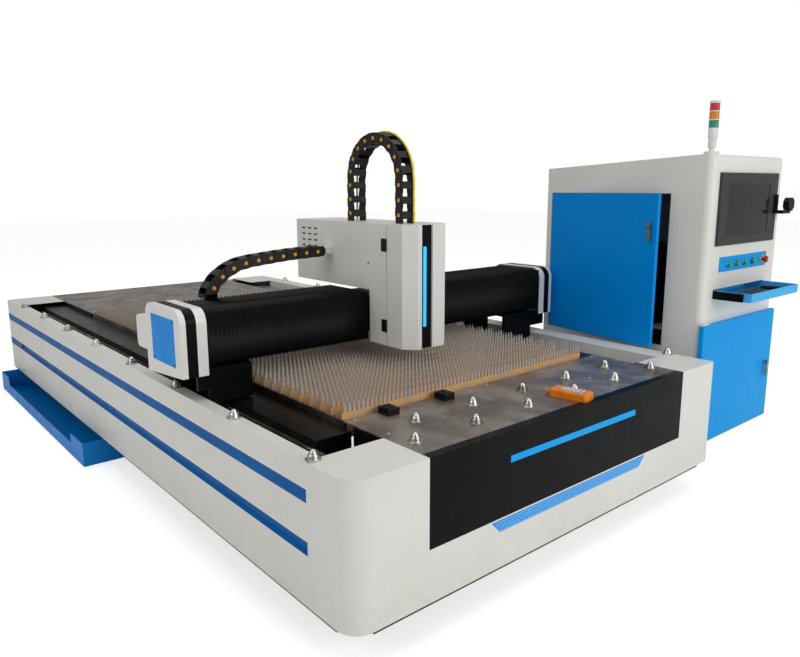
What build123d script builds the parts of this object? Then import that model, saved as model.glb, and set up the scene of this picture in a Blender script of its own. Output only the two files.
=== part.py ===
from build123d import *
import math
import os

# Flat-bed laser cutting machine: a low bed with toothed supports, a gantry that runs along the bed,
# a cutting head carriage on the gantry and an operator cabinet beside the bed.
# X runs across the bed, Y along it and Z up. All sizes are in millimetres.

# Bed
bed_width = 2300.0
bed_length = 4617.0
leg_height = 150.0
panel_height = 534.0
deck_top = leg_height + panel_height
sheet = 3.0
corner_width = 330.0
corner_width_right = 310.0
corner_depth = 245.0
corner_radius = 90.0
corner_radius_right = 12.0
rear_corner_radius = 30.0
rear_cover_depth = 367.0

# Side strips and the troughs inside them
left_strip = 57.0
right_strip = 128.0
trough_inner_left = 331.0
right_bay = 432.0
trough_inner_right = bed_width - right_bay
side_lip = 20.0
strip_lip = 90.0
panel_joint = 2350.0

# Blue stripes on the side panels
upper_stripe_low = leg_height + 386.0
upper_stripe_high = leg_height + 435.0
lower_stripe_low = leg_height + 194.0
lower_stripe_high = leg_height + 245.0
upper_recess = 1.6
lower_recess = 12.0
stripe_sheet = 1.5

# Frame
beam_low = 260.0
beam_high = 590.0
beam_gap = 20.0
beam_start = 60.0
beam_end_gap = 20.0
ledge_top = 655.0
ledge_start = 440.0
ledge_offset = 57.0
member_low = 330.0
member_high = 430.0
member_width = 120.0
member_rows = 6
foot_radius = 30.0
foot_plate = 14.0
foot_stem = 12.0
foot_rows = (420.0, 1400.0, 2320.0, bed_length - 57.0)
foot_inset = 330.0
leg_size = 90.0
sill_low = 140.0
sill_width = 60.0
sill_inset = 4.0

# Front fascia, vent strip and lower front panel
fascia_low = leg_height + 201.0
fascia_flange = 40.0
fascia_stripe_left = 739.0
fascia_stripe_right = bed_width - 723.0
fascia_stripe_low = leg_height + 408.0
fascia_stripe_high = leg_height + 435.0
vent_top_left = 643.0
vent_top_right = bed_width - 622.0
vent_low = leg_height + 148.0
vent_high = leg_height + 194.0
vent_slant = 44.0

# Deck
deck_sheet = 6.0
deck_depth = 487.0
deck_seam = 250.0
deck_margin_right = 345.0
rear_deck_start = 3545.0

# Ball transfers
ball_radius = 13.0
flange_radius = 25.0
flange_height = 5.0
cup_radius = 20.0
cup_shoulder = 19.0
cup_height = 28.0
cup_mouth = 12.5
ball_rise = 37.0
ball_facets = 6
seat_clearance = 0.3
front_row_y = 141.0
back_row_y = 302.0
ball_centre_x = bed_width / 2 + 10
front_ball_pitch = 308.0
back_ball_pitch = 312.0
side_ball_inset = 28.0
side_ball_start = 240.0
side_ball_pitch = 557.0
side_ball_count = 8
right_ball_gap = 1

# Black blocks at the rear edge of the deck
block_centres = (520.0, 824.0)
block_width = 56.0
block_low_y = 412.0
block_high_y = 480.0
block_height = 28.0
block_slots = 2
block_slot_pitch = 24.0

# Support slats and the combs that hold them
slat_first = 507.0
slat_pitch = 76.0
slat_count = 40
slat_sheet = 4.0
slat_end_gap = 5.0
slat_left = trough_inner_left + slat_end_gap
slat_right = trough_inner_right - slat_end_gap
slat_low = 604.0
slat_valley = 700.0
slat_tip = 750.0
tooth_pitch = 190.0
comb_sheet = 12.0
comb_low = beam_high
slot_clearance = 0.6

# Guide rails and racks in the troughs
rail_width = 35.0
rail_height = 36.0
rail_offset_left = 58.0
rail_offset_right = 53.0
rack_width = 16.0
rack_height = 30.0
rack_offset = 45.0
runner_half = 34.0
rail_start = 300.0
rail_end = 4220.0

# Slag drawer
drawer_out = -110.0
drawer_width = 780.0
drawer_front = 2420.0
drawer_back = 4500.0
drawer_low = 0.0
drawer_end_height = 138.0
drawer_side_height = 78.0
drawer_horn = 235.0
drawer_sheet = 4.0
drawer_radius = 30.0

# Gantry
gantry_overhang = 50.0
gantry_left = -gantry_overhang
gantry_right = bed_width + gantry_overhang
gantry_front = 1080.0
gantry_depth = 375.0
cover_width = 115.0
cover_low = 790.0
cover_high = 1073.0
cover_low_rear = 759.0
cover_fillet = 62.0
cover_gap = 1.0
band_width = 45.0
band_offset = 25.0
band_proud = 1.5
panel_front = 1146.0
panel_back = 1386.0
panel_low = 826.0
panel_high = 1029.0
beam_front = 1120.0
beam_back = 1388.0
beam_bottom = 850.0
beam_top = 1030.0
beam_wall = 10.0
cross_rail = 24.0
carriage_low = 662.0
carriage_plate = 18.0
carriage_inset = 8.0
carriage_reach_left = 266.0
carriage_reach_right = 348.0
skirt_low = 726.0
skirt_left = 15.0
skirt_reach_right = 376.0
block_length = 110.0
block_span = 230.0
rail_clearance = 0.5
motor_left = 0.0
motor_width = 99.0
motor_length = 260.0
motor_low = 820.0
motor_high = 974.0
motor_corner = 16.0

# Bellows over the cross beam
bellows_front = 1080.0
bellows_back = 1417.0
bellows_low = 821.0
bellows_high = 1061.0
bellows_pitch = 30.0
pleat_depth = 12.0
bellows_wall = 16.0
bellows_gap = 0.5

# Head cover on the cross carriage
head_left = 921.0
head_right = 1196.0
head_front = 782.0
head_low = 811.0
head_top = 1393.0
head_rear = 1730.0
head_step = 1070.0
head_chamfer = 53.0
head_floor_start = 1150.0
head_seam = 948.0
head_wall = 3.0
seam_gap = 3.0
groove_left = 998.0
groove_right = 1065.0
groove_depth = 14.0
light_left = 1014.0
light_right = 1030.0
light_low = 916.0
light_high = 1292.0
hinge_rows = (907.0, 1295.0)
hinge_height = 60.0
hinge_reach = 36.0
hinge_sheet = 4.0
hinge_pin = 5.0
vent_rows = 4
vent_columns = 3
vent_slot = 32.0
vent_slot_high = 8.0
vent_first_y = 1660.0
vent_column_pitch = 57.0
vent_first_z = 1348.0
vent_row_pitch = 31.0
side_hole_y = 1089.0
side_hole_z = 1200.0
side_hole_radius = 6.0

# Cutting head
head_axis_x = 1058.0
head_axis_y = 900.0
nozzle_low = 822.0
nozzle_radius = 9.0
cone_radius = 32.0
head_body_width = 84.0
head_body_depth = 70.0
head_body_low = 905.0
head_body_high = 1180.0
slide_plate = 14.0
slide_width = 60.0
slide_depth = 16.0
slide_gap = 0.4
slide_low = beam_bottom + 20.0
slide_top = head_top - 90.0
carriage_sheet = 20.0
carriage_side_gap = 20.0
carriage_top = head_top - 60.0
bracket_depth = 54.0
bracket_rise = 50.0
runner_gap = 14.0
runner_length = 60.0
runner_height = 52.0
runner_left = 40.0
runner_right = 100.0

# Drag chains
link_pitch = 68.0
link_height = 54.0
link_width = 81.0
cross_chain_front = 1378.0
cross_chain_end = 1242.0
chain_bracket = 64.0
bracket_height = 34.0
cross_chain_slopes = (2, 2, 3, 4, 5, 5, 10, 24, 37, 57, 76)
chain_foot_left = 203.0
chain_foot_right = 265.0
chain_foot_low = 1061.0
chain_foot_high = 1084.0
lift_chain_left = 992.0
lift_chain_radius = 191.0
lift_chain_front = 942.0
lift_chain_spring = 1608.0

# Cabinet
cab_gap = 112.0
cab_width = 863.0
cab_left = bed_width + cab_gap
cab_right = cab_left + cab_width
cab_front = 138.0
cab_rear = 1177.0
cab_low = 160.0
cab_top_front = 1727.0
cab_top_rear = 1668.0
cab_wall = 3.0
cab_radius = 40.0
cab_foot_inset_y = 320.0
cab_foot_inset_x = 150.0

# Lower front door of the cabinet
front_door_sheet = 26.0
front_door_left = cab_left - 20.0
front_door_right = cab_right - 7.0
front_door_high = 833.0
front_door_low = 168.0
door_rim = 15.0
door_gap = 0.0
front_handle_x = cab_right - 95.0
front_handle_z = 480.0
handle_length = 100.0
handle_width = 22.0
handle_depth = 26.0
handle_sheet = 9.0
handle_post = 8.0

# Side door of the cabinet
side_door_front = 360.0
side_door_hinge = 1140.0
side_door_low = 692.0
side_door_high = 1522.0
side_door_sheet = 22.0
side_door_angle = 8.0
side_lock_y = 400.0
side_lock_z = 1325.0
door_clearance = 2.0
hinge_gap = 4.0
pivot_radius = 4.0
pivot_inset = 8.0
pivot_length = 12.0
pivot_play = 0.5
pivot_plate = 6.0
shelf_height = 775.0
shelf_gap = 6.0
shelf_front = 200.0
source_side = 70.0
source_far = 120.0
source_front = 480.0
source_back = 1060.0
source_height = 420.0
source_ribs = 9
rib_pitch = 60.0
rib_depth = 12.0

# Monitor and button panel on the cabinet front
bezel_left = cab_left + 78.0
bezel_right = cab_left + 772.0
bezel_low = 1250.0
bezel_high = 1632.0
bezel_depth = 14.0
screen_left = cab_left + 159.0
screen_right = cab_left + 666.0
screen_low = 1299.0
screen_high = 1575.0
screen_sink = 5.0
buttons_left = cab_left + 145.0
buttons_right = cab_left + 716.0
buttons_low = 1107.0
buttons_high = 1187.0
buttons_sheet = 4.0
button_row_z = 1144.0
button_places = [cab_left + distance for distance in (245.0, 339.0, 437.0, 538.0)]
button_radius = 15.0
button_stem = 11.0
stem_clearance = 0.6
button_facets = 12
stop_place = cab_left + 670.0
stop_radius = 20.0
stop_stem = 9.0

# Keyboard tray
tray_left = cab_left + 113.0
tray_right = cab_left + 705.0
tray_front = -60.0
tray_depth = 300.0
tray_low = 967.0
tray_high = 1014.0
tray_sheet = 2.0
tray_rail_high = 1009.0
tray_rail_width = 13.0
keyboard_height = 16.0

# Signal tower
tower_x = cab_left + 536.0
tower_y = 420.0
tower_radius = 28.0
tower_base = 42.0
tower_base_height = 49.0
tower_neck = 16.0
tower_neck_height = 21.0
tower_pole = 23.0
tower_pole_height = 54.0
tower_sleeve = 27.0
tower_stem_top = 1894.0
lens_height = 47.7
tower_cap = 10.0
tower_facets = 20

# Camera at the right edge of the monitor
camera_left = bezel_right - 42.0
camera_right = cab_right + 1.0
camera_low = 1404.0
camera_high = 1512.0
camera_out = 62.0
camera_head = 38.0

# Hand remote on the deck
remote_x = 1244.0
remote_y = 106.0
remote_length = 172.0
remote_width = 78.0
remote_height = 32.0
remote_angle = 102.0

# The part stands on the floor, with its origin under the middle of the whole machine.
overall_left = drawer_out
overall_right = camera_right
overall_front = tray_front
overall_back = bed_length
shift_x = -(overall_left + overall_right) / 2
shift_y = -(overall_front + overall_back) / 2


def block(x0, x1, y0, y1, z0, z1):
    centre = Pos((x0 + x1) / 2, (y0 + y1) / 2, (z0 + z1) / 2)
    return centre * Box(x1 - x0, y1 - y0, z1 - z0)


def prism_x(points, x0, x1):
    return extrude(Plane.YZ.offset(x0) * Polygon(*points, align=None), x1 - x0, dir=(1, 0, 0))


def prism_y(points, y0, y1):
    return extrude(Plane.XZ.offset(-y0) * Polygon(*points, align=None), y1 - y0, dir=(0, 1, 0))


def prism_z(points, z0, z1):
    return extrude(Plane.XY.offset(z0) * Polygon(*points, align=None), z1 - z0, dir=(0, 0, 1))


def ring(a, b, radius, facets):
    # corners of a regular polygon round the point (a, b), with a flat side below
    turn = math.pi / facets - math.pi / 2
    return [(a + radius * math.cos(turn + 2 * math.pi * i / facets),
             b + radius * math.sin(turn + 2 * math.pi * i / facets)) for i in range(facets)]


def post_z(x, y, z0, z1, radius, facets=12):
    return prism_z(ring(x, y, radius, facets), z0, z1)


def post_y(x, z, y0, y1, radius, facets=12):
    return prism_y(ring(x, z, radius, facets), y0, y1)


def pin_x(y, z, x0, x1, radius):
    return Pos((x0 + x1) / 2, y, z) * Rot(Y=90) * Cylinder(radius, x1 - x0)


def pin_y(x, z, y0, y1, radius):
    return Pos(x, (y0 + y1) / 2, z) * Rot(X=90) * Cylinder(radius, y1 - y0)


def pin_z(x, y, z0, z1, radius):
    return Pos(x, y, (z0 + z1) / 2) * Cylinder(radius, z1 - z0)


def stack(levels, facets):
    # faceted body of revolution about Z, given as (height, radius) from the bottom up
    parts = []
    for (z0, r0), (z1, r1) in zip(levels, levels[1:]):
        start, way = (z0, 1) if r0 >= r1 else (z1, -1)
        wide = Plane.XY.offset(start) * Polygon(*ring(0, 0, max(r0, r1), facets), align=None)
        slant = math.atan(abs(r0 - r1) * math.cos(math.pi / facets) / (z1 - z0))
        parts.append(extrude(wide, z1 - z0, dir=(0, 0, way), taper=math.degrees(slant)))
    return parts[0].fuse(*parts[1:]) if len(parts) > 1 else parts[0]


def across_bed(shape):
    # the same piece on the other side of the bed
    return shape.mirror(Plane.YZ.offset(bed_width / 2))


def save(name, shapes):
    solids = []
    for shape in shapes:
        solids += list(shape.solids())
    moved = [solid.moved(Location((shift_x, shift_y, 0))) for solid in solids]
    whole = moved[0] if len(moved) == 1 else Compound(children=moved)
    export_step(whole, f"parts/{name}.step")


# Bed frame

def side_beams():
    # each beam has a low step under the guide rail and a ledge beside the slats
    y1 = bed_length - beam_end_gap
    rail_left, rail_right = rail_centres()
    left = block(left_strip + beam_gap, trough_inner_left, beam_start, y1, beam_low, beam_high)
    left += block(rail_left + ledge_offset, trough_inner_left, ledge_start, y1, beam_high, ledge_top)
    right = block(trough_inner_right, bed_width - right_strip - beam_gap / 2, beam_start, y1,
                  beam_low, beam_high)
    right += block(trough_inner_right, rail_right - ledge_offset, ledge_start, y1, beam_high, ledge_top)
    sill = block(sill_inset, sill_inset + sill_width, corner_radius,
                 bed_length - rear_corner_radius, sill_low, leg_height)
    front_sill = block(corner_radius, bed_width - corner_radius, sill_inset,
                       sill_inset + sill_width, sill_low, leg_height)
    return [left, right, sill + front_sill + across_bed(sill)]


def cross_members():
    first = foot_rows[0]
    pitch = (bed_length - 2 * first) / (member_rows - 1)
    pieces = []
    for row in range(member_rows):
        y = first + row * pitch
        pieces.append(block(trough_inner_left, trough_inner_right, y - member_width / 2,
                            y + member_width / 2, member_low, member_high))
    pieces.append(block(trough_inner_left, trough_inner_right, 60, deck_depth - 60,
                        beam_high - 30, deck_top - deck_sheet))
    pieces.append(block(trough_inner_left, trough_inner_right, rear_deck_start + 30,
                        bed_length - 60, beam_high, deck_top - deck_sheet))
    return pieces


def levelling_foot(x, y, top):
    plate = post_z(x, y, 0, foot_plate, foot_radius, 8)
    stem = post_z(x, y, foot_plate, top, foot_stem, 6)
    return plate + stem


def levelling_feet():
    feet = []
    for y in foot_rows:
        for x in (foot_inset, bed_width - foot_inset):
            leg = block(x - leg_size / 2, x + leg_size / 2, y - leg_size / 2, y + leg_size / 2,
                        leg_height / 2, beam_low)
            feet.append(levelling_foot(x, y, leg_height / 2) + leg)
    for y in (cab_front + cab_foot_inset_y, cab_rear - cab_foot_inset_x):
        for x in (cab_left + cab_foot_inset_x, cab_right - cab_foot_inset_x):
            feet.append(levelling_foot(x, y, cab_low))
    return feet


# Cladding

def side_panel(strip, y0, y1):
    outline = [
        (0, leg_height),
        (0, lower_stripe_low),
        (lower_recess, lower_stripe_low + 16),
        (lower_recess, lower_stripe_high),
        (0, lower_stripe_high),
        (0, upper_stripe_low),
        (upper_recess, upper_stripe_low),
        (upper_recess, upper_stripe_high),
        (0, upper_stripe_high),
        (0, deck_top),
        (strip, deck_top),
        (strip, deck_top - strip_lip),
        (strip - sheet, deck_top - strip_lip),
        (strip - sheet, deck_top - sheet),
        (sheet, deck_top - sheet),
        (sheet, upper_stripe_high + sheet),
        (upper_recess + sheet, upper_stripe_high + sheet),
        (upper_recess + sheet, lower_stripe_high + sheet),
        (lower_recess + sheet, lower_stripe_high + sheet),
        (lower_recess + sheet, lower_stripe_low + 15),
        (sheet, lower_stripe_low - 1),
        (sheet, leg_height + sheet),
        (side_lip, leg_height + sheet),
        (side_lip, leg_height),
    ]
    return prism_y(outline, y0, y1)


def side_panels():
    y0 = corner_depth
    y1 = bed_length - rear_cover_depth
    left = [side_panel(left_strip, y0, panel_joint), side_panel(left_strip, panel_joint, y1)]
    right = [across_bed(side_panel(right_strip, y0, panel_joint)),
             across_bed(side_panel(right_strip, panel_joint, y1))]
    return left + right


def side_stripes():
    upper = block(0, upper_recess, corner_depth, bed_length - rear_cover_depth,
                  upper_stripe_low, upper_stripe_high)
    lip = lower_recess - stripe_sheet
    lower = prism_y([
        (0, lower_stripe_low),
        (lower_recess, lower_stripe_low + 16),
        (lower_recess, lower_stripe_high),
        (lip, lower_stripe_high),
        (lip, lower_stripe_low + 17),
        (0, lower_stripe_low + 3),
    ], corner_depth, bed_length - rear_cover_depth)
    return [upper, lower, across_bed(upper), across_bed(lower)]


def corner_cover(width, depth, radius):
    # folded cover with a round at its outer upright edge, open below, behind and inside
    outer = block(0, width, 0, depth, leg_height, deck_top)
    upright = outer.edges().filter_by(Axis.Z).sort_by(lambda e: e.center().X + e.center().Y)[0]
    outer = fillet(upright, radius)
    inner = block(sheet, width, sheet, depth, leg_height, deck_top - sheet)
    upright = inner.edges().filter_by(Axis.Z).sort_by(lambda e: e.center().X + e.center().Y)[0]
    inner = fillet(upright, radius - sheet)
    return outer - inner


def front_corner_covers():
    return [corner_cover(corner_width, corner_depth, corner_radius),
            across_bed(corner_cover(corner_width_right, corner_depth, corner_radius_right))]


def rear_covers():
    middle = Plane.XZ.offset(-bed_length / 2)
    left = corner_cover(corner_width, rear_cover_depth, rear_corner_radius).mirror(middle)
    right = across_bed(left)
    panel = block(corner_width, bed_width - corner_width, bed_length - sheet, bed_length,
                  leg_height, deck_top - deck_sheet)
    return [left, right, panel]


def front_fascia():
    outline = [
        (0, fascia_low),
        (0, deck_top),
        (fascia_flange, deck_top),
        (fascia_flange, deck_top - sheet),
        (sheet, deck_top - sheet),
        (sheet, fascia_low + sheet),
        (side_lip, fascia_low + sheet),
        (side_lip, fascia_low),
    ]
    return prism_x(outline, corner_width, bed_width - corner_width_right)


def fascia_stripe():
    return block(fascia_stripe_left, fascia_stripe_right, -upper_recess, 0,
                 fascia_stripe_low, fascia_stripe_high)


def vent_strip():
    outline = [
        (vent_top_left, vent_high),
        (vent_top_right, vent_high),
        (vent_top_right - vent_slant, vent_low),
        (vent_top_left + vent_slant, vent_low),
    ]
    return prism_y(outline, -upper_recess, 0)


def lower_front_panel():
    outline = [
        (0, leg_height),
        (0, fascia_low),
        (side_lip, fascia_low),
        (side_lip, fascia_low - sheet),
        (sheet, fascia_low - sheet),
        (sheet, leg_height + sheet),
        (side_lip, leg_height + sheet),
        (side_lip, leg_height),
    ]
    return prism_x(outline, corner_width, bed_width - corner_width_right)


# Deck

def deck_plates():
    right = bed_width - corner_width_right
    front = block(corner_width, right, fascia_flange, deck_seam, deck_top - deck_sheet, deck_top)
    back = block(corner_width, bed_width - deck_margin_right, deck_seam, deck_depth,
                 deck_top - deck_sheet, deck_top)
    rear = block(trough_inner_left, trough_inner_right, rear_deck_start, bed_length,
                 deck_top - deck_sheet, deck_top)
    return [front, back, rear]


def ball_places():
    places = [(ball_centre_x + (i - 2.5) * front_ball_pitch, front_row_y) for i in range(6)]
    places += [(ball_centre_x + (i - 2) * back_ball_pitch, back_row_y) for i in range(5)]
    for i in range(side_ball_count):
        y = side_ball_start + i * side_ball_pitch
        places.append((side_ball_inset, y))
        if i != right_ball_gap:
            places.append((bed_width - side_ball_inset, y))
    return places


def ball_form(radius):
    # faceted ball with flat poles, round the origin
    levels = []
    for degrees in (-60, -25, 25, 60):
        angle = math.radians(degrees)
        levels.append((radius * math.sin(angle), radius * math.cos(angle)))
    return stack(levels, ball_facets)


def ball_housings():
    # flanged cup whose upper part tapers to the mouth round the ball
    flange = post_z(0, 0, 0, flange_height, flange_radius, ball_facets)
    cup = stack([(flange_height, cup_radius), (cup_shoulder, cup_radius), (cup_height, cup_mouth)],
                ball_facets)
    ball_centre = ball_rise - ball_radius
    seat = post_z(0, 0, ball_centre - ball_radius * 0.9, cup_height,
                  cup_mouth - seat_clearance, ball_facets)
    housing = (flange + cup) - seat
    return [Pos(x, y, deck_top) * housing for x, y in ball_places()]


def transfer_balls():
    # the ball lies in its cup, inside the mouth
    ball = ball_form(ball_radius - 2 * seat_clearance)
    return [Pos(x, y, deck_top + ball_rise - ball_radius) * ball for x, y in ball_places()]


def edge_blocks():
    pieces = []
    for x in block_centres:
        body = block(x - block_width / 2, x + block_width / 2, block_low_y, block_high_y,
                     deck_top, deck_top + block_height)
        for slot in range(block_slots):
            y = block_low_y + block_slot_pitch / 2 + slot * block_slot_pitch
            body -= block(x - block_width / 2, x + block_width / 4, y, y + block_slot_pitch / 2,
                          deck_top + block_height / 2, deck_top + block_height)
        pieces.append(body)
    return pieces


# Support slats

def slat_places():
    return [slat_first + i * slat_pitch for i in range(slat_count)]


def slat_combs():
    combs = []
    for x0 in (trough_inner_left, trough_inner_right - comb_sheet):
        comb = block(x0, x0 + comb_sheet, deck_depth, rear_deck_start, comb_low, deck_top - 1)
        slots = []
        for y in slat_places():
            half = slat_sheet / 2 + slot_clearance
            slots.append(block(x0, x0 + comb_sheet, y - half, y + half, slat_low, deck_top - 1))
        combs.append(comb - slots)
    return combs


def support_slats():
    # flat bars with a row of spikes along the top
    points = [(slat_left, slat_low), (slat_right, slat_low), (slat_right, slat_valley)]
    teeth = int((slat_right - slat_left) / tooth_pitch)
    start = slat_right - (slat_right - slat_left - teeth * tooth_pitch) / 2
    for i in range(teeth):
        x = start - i * tooth_pitch
        points.append((x, slat_valley))
        points.append((x - tooth_pitch / 2, slat_tip))
    points.append((start - teeth * tooth_pitch, slat_valley))
    points.append((slat_left, slat_valley))
    slat = prism_y(points, -slat_sheet / 2, slat_sheet / 2)
    return [Pos(0, y, 0) * slat for y in slat_places()]


# Guide rails and racks

def rail_centres():
    return (left_strip + rail_offset_left, bed_width - right_strip - rail_offset_right)


def guide_rails():
    pieces = []
    half = rail_width / 2
    for x in rail_centres():
        outline = [
            (x - half, beam_high),
            (x + half, beam_high),
            (x + half, beam_high + rail_height * 0.4),
            (x + half - 5, beam_high + rail_height * 0.55),
            (x + half, beam_high + rail_height * 0.7),
            (x + half, beam_high + rail_height),
            (x - half, beam_high + rail_height),
            (x - half, beam_high + rail_height * 0.7),
            (x - half + 5, beam_high + rail_height * 0.55),
            (x - half, beam_high + rail_height * 0.4),
        ]
        pieces.append(prism_y(outline, rail_start, rail_end))
    left, right = rail_centres()
    for x in (left + rack_offset, right - rack_offset):
        pieces.append(block(x - rack_width / 2, x + rack_width / 2, rail_start, rail_end,
                            beam_high, beam_high + rack_height))
    return pieces


# Slag drawer

def slag_drawer():
    # long shallow tray under the bed, with a high box at each end of its outer wall
    x0 = drawer_out
    x1 = drawer_out + drawer_width
    body = block(x0, x1, drawer_front, drawer_back, drawer_low, drawer_end_height)
    inner = block(x0 + drawer_sheet, x1 - drawer_sheet, drawer_front + drawer_sheet,
                  drawer_back - drawer_sheet, drawer_low + drawer_sheet, drawer_end_height)
    inner_edges = inner.edges().filter_by(Axis.Y).sort_by(Axis.Z)[:2]
    inner = fillet(inner_edges, drawer_radius)
    body -= inner
    body -= block(x0, x0 + drawer_sheet, drawer_front + drawer_horn, drawer_back - drawer_horn,
                  drawer_side_height, drawer_end_height)
    return body


# Gantry

def cross_beam():
    y0, y1 = beam_front, beam_back
    left = gantry_left + cover_width - 6
    right = gantry_right - cover_width + 6
    tube = block(left, right, y0, y1, beam_bottom, beam_top)
    tube -= block(left, right, y0 + beam_wall, y1 - beam_wall, beam_bottom + beam_wall,
                  beam_top - beam_wall)
    rails = []
    for z in (beam_bottom + 40, beam_top - 40):
        rails.append(block(left + 60, right - 60, y0 - cross_rail, y0, z - cross_rail / 2,
                           z + cross_rail / 2))
    return [tube] + rails


def carriage_plates():
    # each end of the beam stands on two blocks that run on the guide rail in the trough
    pieces = []
    rails = rail_centres()
    left_side = (rails[0], left_strip + carriage_inset, carriage_reach_left,
                 skirt_left, carriage_reach_left)
    right_side = (rails[1], bed_width - carriage_reach_right, bed_width - right_strip - carriage_inset,
                  bed_width - skirt_reach_right, bed_width - skirt_left)
    for rail_x, x0, x1, skirt0, skirt1 in (left_side, right_side):
        y0 = gantry_front + sheet + cover_gap
        y1 = gantry_front + gantry_depth - sheet - cover_gap
        foot = block(x0, x1, y0, y1, carriage_low, carriage_low + carriage_plate)
        front = block(x0, x1, y0, y0 + carriage_plate, carriage_low + carriage_plate,
                      bellows_low - 4)
        back = block(x0, x1, y1 - carriage_plate, y1, carriage_low + carriage_plate,
                     bellows_low - 4)
        top = block(x0, x1, y0 + carriage_plate, y1 - carriage_plate, bellows_low - 22,
                    bellows_low - 4)
        skirt = block(skirt0, skirt1, y0, y0 + carriage_plate, skirt_low, bellows_low - 4)
        pieces.append(foot + front + back + top + skirt)
        riser = block(x0 + 20, x1 - 20, beam_front + 10, beam_back - 10, bellows_low - 4, beam_bottom)
        pieces.append(riser)
        for y in ((y0 + y1) / 2 - block_span / 2, (y0 + y1) / 2 + block_span / 2):
            runner = block(rail_x - runner_half, rail_x + runner_half, y - block_length / 2,
                           y + block_length / 2,
                           beam_high + rail_height * 0.45, carriage_low)
            half = rail_width / 2 + rail_clearance
            runner -= block(rail_x - half, rail_x + half, y - block_length / 2, y + block_length / 2,
                            beam_high, beam_high + rail_height + rail_clearance)
            pieces.append(runner)
    return pieces


def arch(x0, x1, inset):
    # slice of the end cover's form, made smaller by the inset at its sides and top, and open below
    y0 = gantry_front + inset
    y1 = gantry_front + gantry_depth - inset
    form = prism_x([(y0, cover_low - inset), (y1, cover_low_rear - inset), (y1, cover_high - inset),
                    (y0, cover_high - inset)], x0, x1)
    corners = form.edges().filter_by(Axis.X).group_by(Axis.Z)[-1]
    return fillet(corners, cover_fillet - inset)


def end_cover():
    # arched cover over the end of the beam, with a skirt that reaches down into the trough
    x0, x1 = gantry_left, gantry_left + cover_width
    shell = arch(x0, x1, 0) - arch(x0 + sheet, x1, sheet)
    groove_x = x0 + band_offset
    groove = arch(groove_x, groove_x + band_width, 0) - arch(x0, x1, band_proud)
    return shell - groove


def end_covers():
    left = end_cover()
    return [left, across_bed(left)]


def end_band():
    # black band let into the groove of the end cover
    x0 = gantry_left + band_offset
    return arch(x0, x0 + band_width, 0) - arch(x0, x0 + band_width, band_proud)


def end_bands():
    left = end_band()
    return [left, across_bed(left)]


def end_panels():
    x0 = gantry_left - upper_recess
    left = block(x0, gantry_left, panel_front, panel_back, panel_low, panel_high)
    return [left, across_bed(left)]


def drive_motors():
    # one gearmotor in a rounded box behind each end cover
    y0 = gantry_front + gantry_depth
    body = block(motor_left, motor_left + motor_width, y0, y0 + motor_length, motor_low, motor_high)
    body = chamfer(body.edges().filter_by(Axis.X), motor_corner)
    return [body, across_bed(body)]


# Bellows

def pleated(x0, x1, low, high, pitch, depth, outward):
    # zigzag line between x0 and x1, with its crests at high
    count = max(2, round((x1 - x0) / pitch))
    step = (x1 - x0) / count
    points = []
    for i in range(count):
        points.append((x0 + i * step, high - outward * depth))
        points.append((x0 + (i + 0.5) * step, high))
    points.append((x1, high - outward * depth))
    return points


def bellows(x0, x1):
    top_line = pleated(x0, x1, bellows_low, bellows_high, bellows_pitch, pleat_depth, 1)
    side_outline = top_line + [(x1, bellows_low), (x0, bellows_low)]
    by_height = prism_y(side_outline, bellows_front, bellows_back)
    front_line = pleated(x0, x1, bellows_back, bellows_front, bellows_pitch, pleat_depth, -1)
    back_line = pleated(x0, x1, bellows_front, bellows_back, bellows_pitch, pleat_depth, 1)
    plan_outline = front_line + back_line[::-1]
    by_plan = prism_z(plan_outline, bellows_low, bellows_high)
    folded = by_height & by_plan
    inside = block(x0, x1, bellows_front + bellows_wall, bellows_back - bellows_wall,
                   bellows_low, bellows_high - bellows_wall)
    return folded - inside


# Head cover, its hinged front door and the carriage

def head_cover():
    # L-shaped hood round the carriage, its lower part open towards the beam
    wall = head_wall
    outline = [
        (head_seam, head_low),
        (gantry_front, head_low),
        (gantry_front, head_step),
        (head_rear, head_step),
        (head_rear, head_top),
        (head_seam, head_top),
    ]
    shell = prism_x(outline, head_left, head_right)
    x0, x1 = head_left + wall, head_right - wall
    shell -= block(x0, x1, head_seam, gantry_front, head_low, head_top - wall)
    shell -= block(x0, x1, gantry_front, head_rear - wall, head_step + wall, head_top - wall)
    shell -= block(x0, x1, gantry_front, head_floor_start, head_step, head_step + wall)
    slots = []
    for row in range(vent_rows):
        z = vent_first_z - row * vent_row_pitch
        for column in range(vent_columns):
            y = vent_first_y - column * vent_column_pitch
            slots.append(block(head_left - 1, head_left + wall + 1, y - vent_slot / 2,
                               y + vent_slot / 2, z - vent_slot_high / 2, z + vent_slot_high / 2))
    hole = prism_x(ring(side_hole_y, side_hole_z, side_hole_radius, 8), head_left - wall,
                   head_left + 2 * wall)
    return shell - slots - hole


def door_plan(inset, y1):
    # plan of the cover's front: flat face between two slanted corners
    cut = head_chamfer - inset * 0.4142
    x0, x1 = head_left + inset, head_right - inset
    y0 = head_front + inset
    corner = head_chamfer - inset + inset * 0.5858
    return [(x0, y1), (x0, y0 + corner), (x0 + cut, y0), (x1 - cut, y0), (x1, y0 + corner), (x1, y1)]


def head_door():
    # front of the cover: slanted corners, a deep groove down the face, hinged at the left seam
    wall = head_wall
    y1 = head_seam - seam_gap
    outer = prism_z(door_plan(0, y1), head_low, head_top)
    inner = prism_z(door_plan(wall, y1), head_low, head_top - wall)
    back = block(groove_left - wall, groove_right + wall, head_front + wall,
                 head_front + groove_depth + wall, head_low, head_top - wall)
    groove = block(groove_left, groove_right, head_front, head_front + groove_depth, head_low,
                   head_top)
    return (outer - inner) + back - groove


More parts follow.
